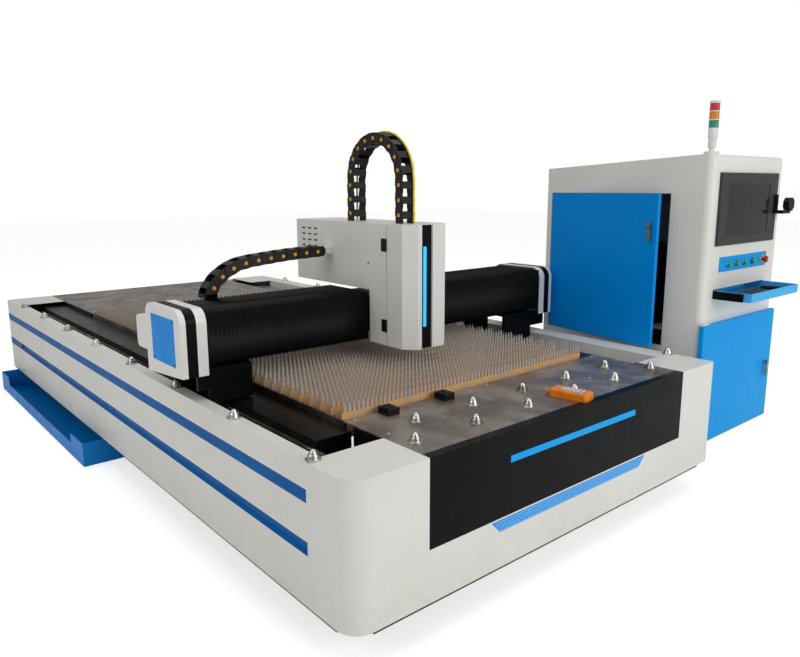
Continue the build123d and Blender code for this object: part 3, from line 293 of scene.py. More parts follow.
GREY_ABS = moulded_plastic("grey bezel plastic", "#3A3A39", "#323231", 0.4, gloss=0.25)
KEY_GREY = moulded_plastic("grey rubber keys", "#8E8C88", "#7A7874", 0.6)
ORANGE_ABS = moulded_plastic("orange moulded plastic", "#F58A0B", "#DE7503", 0.4)
FIBRE_YELLOW = moulded_plastic("yellow cable sheath", "#F2DC1A", "#D9BF10", 0.42)
GREEN_CAP = moulded_plastic("green push button cap", "#12A860", "#0C8C4E", 0.3)
RED_CAP = moulded_plastic("red stop button cap", "#C81E22", "#A81418", 0.3)
WHITE_ABS = moulded_plastic("white tower plastic", "#E2E2DF", "#D5D5D1", 0.36)
LIGHT_BAR = lit_diffuser("opal light bar", "#17B4FF", 0.9)
LENS_RED = lamp_lens("red lamp lens", "#D81E2B", "#8F0E18")
LENS_AMBER = lamp_lens("amber lamp lens", "#E08A00", "#9A5A00")
LENS_GREEN = lamp_lens("green lamp lens", "#0F9A70", "#07604A")
SCREEN = screen_glass("monitor glass")
PERFORATION = coated_sheet("pale sheet behind the perforations", "#CFE6F2", "#BFDCEC", 0.8)
KEY_BLACK = moulded_plastic("black key caps", "#1D1E21", "#2A2B2F", 0.5)
STOP_YELLOW = moulded_plastic("yellow stop plate", "#D9B411", "#C09A08", 0.4)

NODE_FINISH = {
    "side_beams": TROUGH_COAT, "cross_members": FRAME_COAT, "levelling_feet": BRIGHT_STEEL,
    "side_panels": WHITE, "side_stripes": STRIPE_BLUE, "front_corner_covers": WHITE,
    "rear_covers": WHITE, "front_fascia": BLACK_COAT, "fascia_stripe": CYAN_TRIM,
    "vent_strip": VENT_BLUE, "lower_front_panel": WHITE, "deck_plates": DECK_STEEL,
    "ball_housings": BRIGHT_STEEL, "transfer_balls": BALL_STEEL, "edge_blocks": BLACK_ABS,
    "slat_combs": BARE_STEEL, "support_slats": SLAT_STEEL, "guide_rails": BRIGHT_STEEL,
    "slag_drawer": DRAWER_BLUE, "cross_beam": FRAME_COAT, "carriage_plates": BLACK_COAT,
    "end_covers": HOOD_WHITE, "end_bands": BLACK_COAT, "end_panels": DOOR_BLUE,
    "drive_motors": HOOD_WHITE, "head_cover": HOOD_WHITE, "head_door": HOOD_WHITE,
    "head_trim": BLACK_COAT, "light_strip": LIGHT_BAR, "cover_hinges": BLACK_ABS,
    "head_carriage": BARE_STEEL, "cutting_head": BRIGHT_STEEL, "cabinet_body": WHITE,
    "laser_source": FRAME_COAT, "front_door": FRONT_BLUE, "front_door_handle": HANDLE_STEEL,
    "side_door": DOOR_BLUE, "side_door_lock": HANDLE_STEEL, "monitor_bezel": GREY_ABS,
    "monitor_screen": SCREEN, "button_panel": FRONT_BLUE, "push_button_1": GREEN_CAP,
    "push_button_2": GREEN_CAP, "push_button_3": GREEN_CAP, "push_button_4": GREEN_CAP,
    "e_stop": RED_CAP, "tower_stem": WHITE_ABS, "tower_green": LENS_GREEN,
    "tower_amber": LENS_AMBER, "tower_red": LENS_RED, "camera_holder": BLACK_ABS,
    "tray_rails": BLACK_COAT, "keyboard_tray": TRAY_BLUE, "keyboard": BLACK_ABS,
    "mouse": BLACK_ABS, "remote_control": ORANGE_ABS, "bellows_left": BELLOWS_CLOTH,
    "bellows_right": BELLOWS_CLOTH, "cross_chain": CHAIN_NYLON, "lift_chain": CHAIN_NYLON,
}


def dress_nodes():
    for name, material in NODE_FINISH.items():
        for entry in nodes[name].material_slots:
            entry.material = material


# Making pieces

def shown(name, mesh, material, body, smooth=None):
    # a finished piece: its place in its mesh, its faces outwards, riding on its body
    piece = bpy.data.objects.new(name, mesh)
    bpy.context.scene.collection.objects.link(piece)
    mesh.materials.clear()
    mesh.materials.append(material)
    if smooth is not None:
        for face in mesh.polygons:
            face.use_smooth = True
        mesh.set_sharp_from_angle(angle=math.radians(smooth))
    if body:
        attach(piece, body)
    return piece


def to_mesh(name, bm):
    bmesh.ops.recalc_face_normals(bm, faces=bm.faces)
    mesh = bpy.data.meshes.new(name)
    bm.to_mesh(mesh)
    bm.free()
    return mesh


def slab(bm, x0, x1, y0, y1, z0, z1):
    # a box between two corners, in millimetres
    made = bmesh.ops.create_cube(bm, size=1.0)["verts"]
    size = Matrix.Diagonal(((x1 - x0) * MM, (y1 - y0) * MM, (z1 - z0) * MM, 1.0))
    centre = Matrix.Translation(at((x0 + x1) / 2, (y0 + y1) / 2, (z0 + z1) / 2))
    bmesh.ops.transform(bm, matrix=centre @ size, verts=made)
    return made


def turned(bm, profile, centre, axis=(0, 0, 1), segments=24):
    # a closed form turned about an axis, its profile as (radius, height) in millimetres
    turn = Vector((0, 0, 1)).rotation_difference(Vector(axis)).to_matrix().to_4x4()
    place_at = Matrix.Translation(centre) @ turn
    rings = []
    for radius, height in profile:
        if radius < 1e-6:
            rings.append([bm.verts.new(place_at @ Vector((0, 0, height * MM)))])
            continue
        ring = []
        for i in range(segments):
            angle = 2 * math.pi * i / segments
            ring.append(bm.verts.new(place_at @ Vector((
                radius * MM * math.cos(angle), radius * MM * math.sin(angle), height * MM))))
        rings.append(ring)
    for low, high in zip(rings, rings[1:]):
        for i in range(segments):
            j = (i + 1) % segments
            if len(low) == 1:
                bm.faces.new((low[0], high[j], high[i]))
            elif len(high) == 1:
                bm.faces.new((low[i], low[j], high[0]))
            else:
                bm.faces.new((low[i], low[j], high[j], high[i]))
    for ring in (rings[0], rings[-1]):
        if len(ring) > 1:
            bm.faces.new(ring)


def plate(bm, outline, low, high, to_place):
    # a flat plate from a closed outline, between two heights, put in place by to_place(a, b, height)
    bottom = [bm.verts.new(to_place(a, b, low)) for a, b in outline]
    top = [bm.verts.new(to_place(a, b, high)) for a, b in outline]
    bm.faces.new(bottom)
    bm.faces.new(top)
    for i in range(len(outline)):
        j = (i + 1) % len(outline)
        bm.faces.new((bottom[i], bottom[j], top[j], top[i]))


def softened(piece, width):
    # rounds the edges that are sharper than 35 degrees
    bevel = piece.modifiers.new("soft edges", "BEVEL")
    bevel.width = width * MM
    bevel.segments = 2
    bevel.limit_method = "ANGLE"
    bevel.angle_limit = math.radians(35.0)
    return piece


# Bed: painted bands on the rear covers

def make_rear_stripes():
    # the two painted bands go on over the sides of the rear covers
    bm = bmesh.new()
    for x0, x1 in ((-0.8, 0.4), (BED_WIDTH - 0.4, BED_WIDTH + 0.8)):
        for z0, z1 in ((536.0, 585.0), (344.0, 395.0)):
            slab(bm, x0, x1, 4250.0, 4588.0, z0, z1)
    shown("rear_stripes", to_mesh("rear_stripes", bm), STRIPE_BLUE, "machine")


# Repeated pieces

def copies_tree():
    # a copy of the unit at every point of the input, turned by the point's own "turn"
    tree = bpy.data.node_groups.new("copies on points", "GeometryNodeTree")
    sockets = tree.interface
    sockets.new_socket("Points", in_out="INPUT", socket_type="NodeSocketGeometry")
    sockets.new_socket("Unit", in_out="INPUT", socket_type="NodeSocketObject")
    sockets.new_socket("Size spread", in_out="INPUT", socket_type="NodeSocketFloat")
    sockets.new_socket("Seed", in_out="INPUT", socket_type="NodeSocketInt")
    sockets.new_socket("Finish", in_out="INPUT", socket_type="NodeSocketMaterial")
    sockets.new_socket("Pieces", in_out="OUTPUT", socket_type="NodeSocketGeometry")
    given = node(tree, "NodeGroupInput").outputs
    unit = node(tree, "GeometryNodeObjectInfo", None, {"Object": given["Unit"]}).outputs["Geometry"]
    turn = node(tree, "GeometryNodeInputNamedAttribute", {"data_type": "FLOAT_VECTOR"},
                {"Name": "turn"}).outputs[0]
    least = node(tree, "ShaderNodeMath", {"operation": "SUBTRACT"},
                 {0: 1.0, 1: given["Size spread"]}).outputs[0]
    size = node(tree, "FunctionNodeRandomValue", {"data_type": "FLOAT"}, {
        2: least, 3: 1.0, "Seed": given["Seed"]}).outputs[1]
    laid = node(tree, "GeometryNodeInstanceOnPoints", None, {
        "Points": given["Points"], "Instance": unit, "Rotation": turn, "Scale": size}).outputs[0]
    real = node(tree, "GeometryNodeRealizeInstances", None, {0: laid}).outputs[0]
    painted = node(tree, "GeometryNodeSetMaterial", None, {
        "Geometry": real, "Material": given["Finish"]}).outputs[0]
    node(tree, "NodeGroupOutput", None, {"Pieces": painted})
    return tree


COPIES = copies_tree()


def evaluated_mesh(piece):
    graph = bpy.context.evaluated_depsgraph_get()
    graph.update()
    return bpy.data.meshes.new_from_object(piece.evaluated_get(graph))


def copies(name, unit_mesh, places, material, body, turns=None, spread=0.0, seed=1,
           smooth=None):
    # places in metres; turns as Euler angles
    unit = bpy.data.objects.new(name + "_unit", unit_mesh)
    bpy.context.scene.collection.objects.link(unit)
    points = bpy.data.meshes.new(name + "_points")
    points.from_pydata([tuple(p) for p in places], [], [])
    turn = points.attributes.new("turn", "FLOAT_VECTOR", "POINT")
    angles = np.zeros((len(places), 3), np.float32)
    if turns is not None:
        angles[:] = [tuple(t) for t in turns]
    turn.data.foreach_set("vector", angles.ravel())
    holder = bpy.data.objects.new(name + "_holder", points)
    bpy.context.scene.collection.objects.link(holder)
    modifier = holder.modifiers.new("copies", "NODES")
    modifier.node_group = COPIES
    sockets = {s.name: s.identifier for s in COPIES.interface.items_tree if s.in_out == "INPUT"}
    modifier[sockets["Unit"]] = unit
    modifier[sockets["Size spread"]] = spread
    modifier[sockets["Seed"]] = seed
    modifier[sockets["Finish"]] = material
    mesh = evaluated_mesh(holder)
    bpy.data.objects.remove(holder)
    bpy.data.objects.remove(unit)
    return shown(name, mesh, material, body, smooth)


def row(start, step, count):
    return [start + step * i for i in range(count)]


# Bed: slats with their spikes

SLAT_LEFT, SLAT_RIGHT = 336.0, 1863.0
SLAT_FIRST, SLAT_PITCH, SLAT_COUNT = 507.0, 76.0, 40
SLAT_FOOT, SLAT_VALLEY, SLAT_TIP = 604.0, 708.0, 750.0
SLAT_SHEET, SPIKE_PITCH = 4.0, 22.0
# half width of a spike at heights above its foot
SPIKE_LEVELS = ((5.8, 0.0), (7.2, 12.0), (5.2, 27.0))


def slat_unit():
    # one bar: flat below, a row of stout pointed spikes above, each face small and convex
    bm = bmesh.new()
    made = {}

    def face(*points):
        corners = []
        for a, b in points:
            if (a, b) not in made:
                made[a, b] = bm.verts.new(Vector((a, -SLAT_SHEET / 2, b)) * MM)
            corners.append(made[a, b])
        bm.faces.new(corners)

    count = int((SLAT_RIGHT - SLAT_LEFT) / SPIKE_PITCH)
    spare = (SLAT_RIGHT - SLAT_LEFT - count * SPIKE_PITCH) / 2
    worn = random.Random(4)
    for i in range(count):
        left = SLAT_LEFT + spare + i * SPIKE_PITCH if i else SLAT_LEFT
        right = SLAT_LEFT + spare + (i + 1) * SPIKE_PITCH if i < count - 1 else SLAT_RIGHT
        x = SLAT_LEFT + spare + (i + 0.5) * SPIKE_PITCH
        levels = [(half, SLAT_VALLEY + rise) for half, rise in SPIKE_LEVELS]
        levels.append((1.0, SLAT_TIP - worn.uniform(0.0, 4.0)))
        foot = levels[0][0]
        face((left, SLAT_FOOT), (right, SLAT_FOOT), (right, SLAT_VALLEY), (x + foot, SLAT_VALLEY),
             (x - foot, SLAT_VALLEY), (left, SLAT_VALLEY))
        for (wide, low), (narrow, high) in zip(levels, levels[1:]):
            face((x - wide, low), (x + wide, low), (x + narrow, high), (x - narrow, high))
    raised = bmesh.ops.extrude_face_region(bm, geom=bm.faces[:])["geom"]
    corners = [v for v in raised if isinstance(v, bmesh.types.BMVert)]
    bmesh.ops.translate(bm, verts=corners, vec=(0, SLAT_SHEET * MM, 0))
    return to_mesh("slat_unit", bm)


def make_slats():
    places = [at(0, SLAT_FIRST + SLAT_PITCH * i, 0) for i in range(SLAT_COUNT)]
    slats = copies("spiked_slats", slat_unit(), places, SLAT_STEEL, "machine")
    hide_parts("support_slats")


# Bellows

BELLOWS_FRONT, BELLOWS_BACK = 1080.0, 1417.0
BELLOWS_LOW, BELLOWS_HIGH = 821.0, 1061.0
PLEAT, PLEAT_DEPTH = 20.0, 11.0


def bellows_tree():
    # a section swept along a line whose points are wide and narrow by turns
    tree = bpy.data.node_groups.new("pleated sleeve", "GeometryNodeTree")
    sockets = tree.interface
    sockets.new_socket("Start", in_out="INPUT", socket_type="NodeSocketVector")
    sockets.new_socket("End", in_out="INPUT", socket_type="NodeSocketVector")
    sockets.new_socket("Folds", in_out="INPUT", socket_type="NodeSocketInt")
    sockets.new_socket("Narrow", in_out="INPUT", socket_type="NodeSocketFloat")
    sockets.new_socket("Section", in_out="INPUT", socket_type="NodeSocketObject")
    sockets.new_socket("Finish", in_out="INPUT", socket_type="NodeSocketMaterial")
    sockets.new_socket("Sleeve", in_out="OUTPUT", socket_type="NodeSocketGeometry")
    given = node(tree, "NodeGroupInput").outputs
    line = node(tree, "GeometryNodeCurvePrimitiveLine", None, {
        "Start": given["Start"], "End": given["End"]}).outputs[0]
    doubled = node(tree, "ShaderNodeMath", {"operation": "MULTIPLY_ADD"}, {
        0: given["Folds"], 1: 2.0, 2: 1.0}).outputs[0]
    points = node(tree, "GeometryNodeResampleCurve", None, {
        "Curve": line, "Count": doubled}).outputs[0]
    index = node(tree, "GeometryNodeInputIndex").outputs[0]
    even = node(tree, "ShaderNodeMath", {"operation": "MODULO"}, {0: index, 1: 2.0}).outputs[0]
    radius = node(tree, "ShaderNodeMapRange", None, {
        "Value": even, "To Min": given["Narrow"], "To Max": 1.0}).outputs[0]
    sized = node(tree, "GeometryNodeSetCurveRadius", None, {
        "Curve": points, "Radius": radius}).outputs[0]
    section = node(tree, "GeometryNodeObjectInfo", None, {
        "Object": given["Section"]}).outputs["Geometry"]
    ring = node(tree, "GeometryNodeMeshToCurve", None, {0: section}).outputs[0]
    swept = node(tree, "GeometryNodeCurveToMesh", None, {
        "Curve": sized, "Profile Curve": ring, "Fill Caps": True})
    if "Scale" in swept.inputs:
        tree.links.new(radius, swept.inputs["Scale"])
    painted = node(tree, "GeometryNodeSetMaterial", None, {
        "Geometry": swept.outputs[0], "Material": given["Finish"]}).outputs[0]
    node(tree, "NodeGroupOutput", None, {"Sleeve": painted})
    return tree


def section_object():
    # outline of the sleeve round its own centre, with rounded upper corners
    half_depth = (BELLOWS_BACK - BELLOWS_FRONT) / 2
    half_height = (BELLOWS_HIGH - BELLOWS_LOW) / 2
    round_off = 16.0
    outline = [(-half_depth, -half_height), (half_depth, -half_height)]
    for side in (1, -1):
        for i in range(5):
            angle = math.radians(22.5 * i) if side == 1 else math.radians(90 + 22.5 * i)
            outline.append((side * (half_depth - round_off) + round_off * math.cos(angle),
                            half_height - round_off + round_off * math.sin(angle)))
    mesh = bpy.data.meshes.new("sleeve_section")
    corners = [(a * MM, b * MM, 0.0) for a, b in outline]
    edges = [(i, (i + 1) % len(corners)) for i in range(len(corners))]
    mesh.from_pydata(corners, edges, [])
    section = bpy.data.objects.new("sleeve_section", mesh)
    bpy.context.scene.collection.objects.link(section)
    return section


def make_bellows():
    tree = bellows_tree()
    section = section_object()
    sockets = {s.name: s.identifier for s in tree.interface.items_tree if s.in_out == "INPUT"}
    middle_y = (BELLOWS_FRONT + BELLOWS_BACK) / 2
    middle_z = (BELLOWS_LOW + BELLOWS_HIGH) / 2
    for side, x0, x1 in (("left", 65.5, 920.5), ("right", 1196.5, 2234.5)):
        holder = bpy.data.objects.new("sleeve_holder", bpy.data.meshes.new("empty"))
        bpy.context.scene.collection.objects.link(holder)
        modifier = holder.modifiers.new("sleeve", "NODES")
        modifier.node_group = tree
        modifier[sockets["Start"]] = at(x0, middle_y, middle_z)
        modifier[sockets["End"]] = at(x1, middle_y, middle_z)
        modifier[sockets["Folds"]] = round((x1 - x0) / PLEAT)
        modifier[sockets["Narrow"]] = 1.0 - 2 * PLEAT_DEPTH / (BELLOWS_HIGH - BELLOWS_LOW)
        modifier[sockets["Section"]] = section
        modifier[sockets["Finish"]] = BELLOWS_CLOTH
        mesh = evaluated_mesh(holder)
        bpy.data.objects.remove(holder)
        name = f"bellows_{side}_folds"
        sleeve = shown(name, mesh, BELLOWS_CLOTH, None)
        if side == "left":
            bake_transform(sleeve)
        else:
            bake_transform(sleeve)
        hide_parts(f"bellows_{side}")
    bpy.data.objects.remove(section)


# Drag chains

LINK_PITCH, LINK_HEIGHT, LINK_WIDTH = 68.0, 54.0, 81.0
CROSS_START, CROSS_FRONT = (857.0, 1242.0), 1378.0
CROSS_SLOPES = (2, 2, 3, 4, 5, 5, 10, 24, 37, 57)


def cross_path():
    # joints from the head cover to the left and down to the foot, as in the solids
    x, z = CROSS_START
    points = [(x, z)]
    for slope in CROSS_SLOPES:
        x -= LINK_PITCH * math.cos(math.radians(slope))
        z -= LINK_PITCH * math.sin(math.radians(slope))
        points.append((x, z))
    return points


LIFT_FRONT, LIFT_RADIUS, LIFT_SPRING, HOOD_TOP = 942.0, 191.0, 1608.0, 1393.0


def lift_path():
    # joints up from the hood, over a half circle and down again
    back = LIFT_FRONT + 2 * LIFT_RADIUS
    leg = LIFT_SPRING - HOOD_TOP - 4
    legs = round(leg / LINK_PITCH)
    points = [(LIFT_FRONT, HOOD_TOP + 4 + i * leg / legs) for i in range(legs)]
    turns = round(math.pi * LIFT_RADIUS / LINK_PITCH)
    for i in range(turns + 1):
        angle = math.pi - math.pi * i / turns
        points.append((LIFT_FRONT + LIFT_RADIUS * (1 + math.cos(angle)),
                       LIFT_SPRING + LIFT_RADIUS * math.sin(angle)))
    points += [(back, LIFT_SPRING - (i + 1) * leg / legs) for i in range(legs)]
    return points


def link_unit():
    # two side plates, each stepped so that its rear end lies inside the next link's front end, and
    # a pair of cross bars between them
    half = LINK_HEIGHT / 2
    reach = LINK_PITCH / 2
    front, rear = [(-4.0, -half), (-4.0, half)], [(4.0, half), (4.0, -half)]
    for i in range(9):
        angle = math.radians(90 - 22.5 * i)
        front.append((reach + 14.0 * math.cos(angle), half * 0.93 * math.sin(angle)))
        rear.append((-reach - 14.0 * math.cos(angle), -half * 0.93 * math.sin(angle)))
    bm = bmesh.new()
    for near in (-1, 1):
        outer = near * LINK_WIDTH / 2
        for outline, high, low in ((front, 0.0, 5.0), (rear, 2.4, 8.0)):
            plate(bm, outline, outer - near * low, outer - near * high,
                  lambda a, b, h: Vector((a, h, b)) * MM)
    for top in (-1, 1):
        made = bmesh.ops.create_cube(bm, size=1.0)["verts"]
        size = Matrix.Diagonal((34 * MM, (LINK_WIDTH - 6) * MM, 5 * MM, 1.0))
        bmesh.ops.transform(bm, matrix=Matrix.Translation((0, 0, top * (half - 3) * MM)) @ size,
                            verts=made)
    bmesh.ops.triangulate(bm, faces=[f for f in bm.faces if len(f.verts) > 4])
    return to_mesh("link_unit", bm)


def dot_unit():
    bm = bmesh.new()
    for side in (-1, 1):
        turned(bm, [(9.5, -1), (9.5, 1.0), (8.2, 1.8), (0, 1.8)],
               Vector((0, side * LINK_WIDTH / 2 * MM, 0)), (0, side, 0), 14)
    return to_mesh("dot_unit", bm)


def along(path, to_place, width_axis):
    # middle and turn of every link along a path in a plane
    middles, turns = [], []
    for first, second in zip(path, path[1:]):
        a, b = to_place(*first), to_place(*second)
        middles.append((a + b) / 2)
        forward = (b - a).normalized()
        across = Vector(width_axis)
        up = forward.cross(across)
        matrix = Matrix((forward, across, up)).transposed()
        turns.append(matrix.to_euler())
    return middles, turns


def make_cross_chain():
    def to_place(x, z):
        return at(x, CROSS_FRONT + LINK_WIDTH / 2, z)

    middles, turns = along(cross_path(), to_place, (0, 1, 0))
    links = copies("cross_chain_links", link_unit(), middles, CHAIN_NYLON, None,
                   turns=turns)
    dots = copies("cross_chain_dots", dot_unit(), middles, CHAIN_DOT, None, turns=turns)
    for piece in (links, dots):
        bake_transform(piece)
    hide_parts("cross_chain")
    bm = bmesh.new()
    slab(bm, 203, 265, 1378, 1459, 1061, 1084)
    softened(shown("chain_foot", to_mesh("chain_foot", bm), BLACK_COAT, "gantry"), 3)
    bm = bmesh.new()
    slab(bm, 845, 921, 1386, 1451, 1225, 1259)
    softened(shown("chain_bracket", to_mesh("chain_bracket", bm), HOOD_WHITE, "carriage"), 2)


def make_lift_chain():
    x = 992.0 + LINK_WIDTH / 2

    def to_place(y, z):
        return at(x, y, z)

    middles, turns = along(lift_path(), to_place, (1, 0, 0))
    links = copies("lift_chain_links", link_unit(), middles, CHAIN_NYLON, "carriage",
                   turns=turns)
    copies("lift_chain_dots", dot_unit(), middles, CHAIN_DOT, "carriage", turns=turns)
    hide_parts("lift_chain")
    make_fibre_cable()


def tube(name, points, radius, material, body):
    # a smooth round tube along points in metres
    curve = bpy.data.curves.new(name, "CURVE")
    curve.dimensions = "3D"
    spline = curve.splines.new("NURBS")
    spline.points.add(len(points) - 1)
    for point, place_ in zip(spline.points, points):
        point.co = (*place_, 1.0)
    spline.order_u = 3
    spline.use_endpoint_u = True
    curve.bevel_depth = radius * MM
    curve.bevel_resolution = 3
    curve.resolution_u = 6
    curve.use_fill_caps = True
    holder = bpy.data.objects.new(name + "_curve", curve)
    bpy.context.scene.collection.objects.link(holder)
    mesh = evaluated_mesh(holder)
    bpy.data.objects.remove(holder)
    return shown(name, mesh, material, body, smooth=60)


def make_fibre_cable():
    # yellow fibre sheath clipped along the outer side of the lift chain
    x = 1060.0
    out = LINK_HEIGHT / 2 + 6.0
    middle = (LIFT_FRONT + LIFT_RADIUS, LIFT_SPRING)
    points = []
    for y, z in lift_path():
        if z <= LIFT_SPRING:
            points.append(at(x, y + math.copysign(out, y - middle[0]), z))
        else:
            away = (Vector((y, z)) - Vector(middle)).normalized()
            points.append(at(x, y + away.x * out, z + away.y * out))
    tube("fibre_cable", points, 5.0, FIBRE_YELLOW, "carriage")


# Ball transfers

def ball_places():
    places = [(1160.0 + (i - 2.5) * 308.0, 141.0) for i in range(6)]
    places += [(1160.0 + (i - 2) * 312.0, 302.0) for i in range(5)]
    for i in range(8):
        y = 240.0 + i * 557.0
        places.append((28.0, y))
        if i != 1:
            places.append((BED_WIDTH - 28.0, y))
    return [at(x, y, DECK_TOP) for x, y in places]


def housing_unit():
    # flange with two ears, a straight cup and a cone that closes round the ball
    bm = bmesh.new()
    turned(bm, [(27.5, 0), (27.5, 3.4), (26, 4.6), (21.4, 4.8), (20.6, 6), (20, 15.6), (18.6, 18.2),
                (15.4, 23.4), (14.6, 25.6), (12.9, 25.2), (0, 25.0)], Vector((0, 0, 0)), segments=24)
    outline = []
    for side in (1, -1):
        for i in range(6):
            angle = math.radians(-70 + 28 * i)
            outline.append((side * (27 + 7 * math.cos(angle)), side * 9 * math.sin(angle)))
    plate(bm, outline, 0.0, 3.6, lambda a, b, h: Vector((a, b, h)) * MM)
    return to_mesh("housing_unit", bm)


def ball_unit():
    bm = bmesh.new()
    bmesh.ops.create_uvsphere(bm, u_segments=20, v_segments=12, radius=13.0 * MM)
    bmesh.ops.translate(bm, verts=bm.verts, vec=(0, 0, 24.0 * MM))
    return to_mesh("ball_unit", bm)


def make_ball_transfers():
    places = ball_places()
    turns = [(0, 0, math.radians(35 * i)) for i in range(len(places))]
    housings = copies("ball_transfer_cups", housing_unit(), places, BRIGHT_STEEL, "machine",
                      turns=turns, smooth=40)
    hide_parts("ball_housings")
    balls = copies("ball_transfer_balls", ball_unit(), places, BALL_STEEL, "machine",
                   smooth=60)
    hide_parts("transfer_balls")


# Screws

def screw_unit(radius=5.5, height=3.2):
    # button head with a six-sided socket
    bm = bmesh.new()
    turned(bm, [(radius, 0), (radius, height * 0.4), (radius * 0.72, height * 0.9),
                (radius * 0.5, height), (radius * 0.42, height * 0.3), (0, height * 0.3)],
           Vector((0, 0, 0)), segments=12)
    return to_mesh("screw_unit", bm)


def facing(axis):
    return Vector((0, 0, 1)).rotation_difference(Vector(axis)).to_euler()


def make_screws():
    deck = [at(x, y, DECK_TOP) for x, y in ((372.0, 268.0), (372.0, 470.0), (1110.0, 470.0),
                                         (1920.0, 268.0), (1920.0, 470.0), (1560.0, 232.0))]
    copies("deck_screws", screw_unit(), deck, BRIGHT_STEEL, "machine", smooth=40)
    rails = []
    for x in (115.0, 2119.0):
        rails += [at(x, y, 626.0) for y in row(330.0, 60.0, 65)]
    copies("rail_screws", screw_unit(5.0, 1.4), rails, DARK_STEEL, "machine", smooth=40)
    left, right = ([at(x, y, z) for y in (1156.0, 1376.0) for z in (836.0, 1019.0)]
                   for x in (-51.6, 2351.6))
    turns = [facing((-1, 0, 0))] * 4 + [facing((1, 0, 0))] * 4
    copies("end_cover_screws", screw_unit(4.5, 2.4), left + right, DARK_STEEL, "gantry",
           turns=turns, smooth=40)


# Racks in the troughs

def tooth_unit():
    outline = [(-4.2, 0.0), (4.2, 0.0), (1.8, 6.5), (-1.8, 6.5)]
    bm = bmesh.new()
    plate(bm, outline, -8.0, 8.0, lambda a, b, h: Vector((h, a, b)) * MM)
    return to_mesh("tooth_unit", bm)


def make_racks():
    places = []
    for x in (160.0, 2074.0):
        places += [at(x, y, 619.5) for y in row(306.0, 10.0, 391)]
    copies("rack_teeth", tooth_unit(), places, BARE_STEEL, "machine")


# Perforated strip on the front

def make_vent_strip():
    low, high = 298.0, 344.0
    top_left, top_right, slant = 643.0, 1678.0, 44.0
    places = []
    lines, pitch = 4, 10.8
    for i in range(lines):
        z = low + 6.0 + i * pitch
        cut = slant * (high - z) / (high - low) + 8.0
        x = top_left + cut + (i % 2) * pitch / 2
        while x < top_right - cut:
            places.append(at(x, -1.6, z))
            x += pitch
    bm = bmesh.new()
    turned(bm, [(2.3, -0.3), (2.3, 0.12), (0, 0.12)], Vector((0, 0, 0)), segments=8)
    hole = to_mesh("hole_unit", bm)
    turns = [facing((0, -1, 0))] * len(places)
    copies("vent_perforations", hole, places, PERFORATION, "machine", turns=turns)


# Hand remote

REMOTE_CENTRE, REMOTE_TURN = at(1244.0, 106.0, 716.0), math.radians(102.0)


def on_remote(bm, x0, x1, y0, y1, height):
    # a low box on top of the remote, laid along the remote's own directions
    turn = Matrix.Translation(REMOTE_CENTRE) @ Matrix.Rotation(REMOTE_TURN, 4, "Z")
    for corner in slab(bm, x0, x1, y0, y1, 0.0, height):
        corner.co = turn @ (corner.co - at(0, 0, 0))


def make_remote_face():
    # pale label on top of the remote with three rows of small keys
    key, column_pitch, line_pitch = 11.0, 17.0, 16.0
    label = bmesh.new()
    on_remote(label, -62.0, 46.0, -26.0, 26.0, 0.8)
    shown("remote_label", to_mesh("remote_label", label), KEY_GREY, "machine")
    keys = bmesh.new()
    for column in range(6):
        for line in range(3):
            x, y = -56.0 + column * column_pitch, -22.0 + line * line_pitch
            on_remote(keys, x, x + key, y, y + key, 1.9)
    shown("remote_keys", to_mesh("remote_keys", keys), WHITE_ABS, "machine")


# Cabinet front: keyboard, buttons and stop knob

BUTTON_FACE, BUTTON_HEIGHT, STOP_X = 134.0, 1144.0, 3082.0
BUTTON_ROW = (2657.0, 2751.0, 2849.0, 2950.0)


def make_keyboard():
    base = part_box("keyboard")
    size = base[1] - base[0]
    bm = bmesh.new()
    low = [(-11, -10), (11, -10), (11, 10), (-11, 10)]
    top = [(-8.5, -7.5), (8.5, -7.5), (8.5, 8.0), (-8.5, 8.0)]
    bottom = [bm.verts.new(Vector((a, b, 0)) * MM) for a, b in low]
    upper = [bm.verts.new(Vector((a, b, 6)) * MM) for a, b in top]
    bm.faces.new(bottom)
    bm.faces.new(upper)
    for i in range(4):
        j = (i + 1) % 4
        bm.faces.new((bottom[i], bottom[j], upper[j], upper[i]))
    key = to_mesh("key_unit", bm)
    places = []
    columns, lines = 15, 5
    for r in range(lines):
        for c in range(columns):
            places.append(Vector((
                base[0].x + size.x * (c + 0.8 + 0.12 * r) / (columns + 1.1),
                base[0].y + size.y * (r + 0.75) / (lines + 0.5), base[1].z)))
    copies("keyboard_keys", key, places, KEY_BLACK, "tray")


def make_button_caps():
    # domed caps in place of the plain ones, each on its own body
    for number, x in enumerate(BUTTON_ROW, start=1):
        bm = bmesh.new()
        turned(bm, [(11, -0.8), (11, 6), (15, 7), (15, 12), (13.6, 13.7), (0, 14)],
               at(x, BUTTON_FACE, BUTTON_HEIGHT), (0, -1, 0), 28)
        cap = shown(f"button_cap_{number}", to_mesh("button_cap", bm), GREEN_CAP,
                    f"button_{number}", smooth=40)
        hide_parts(f"push_button_{number}")
    bm = bmesh.new()
    turned(bm, [(9, -0.8), (9, 13), (18.5, 15), (20, 17), (20, 23), (18, 27), (12, 28.6), (0, 28.9)],
           at(STOP_X, BUTTON_FACE, BUTTON_HEIGHT), (0, -1, 0), 32)
    knob = shown("stop_knob", to_mesh("stop_knob", bm), RED_CAP, "stop_button", smooth=40)
    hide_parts("e_stop")


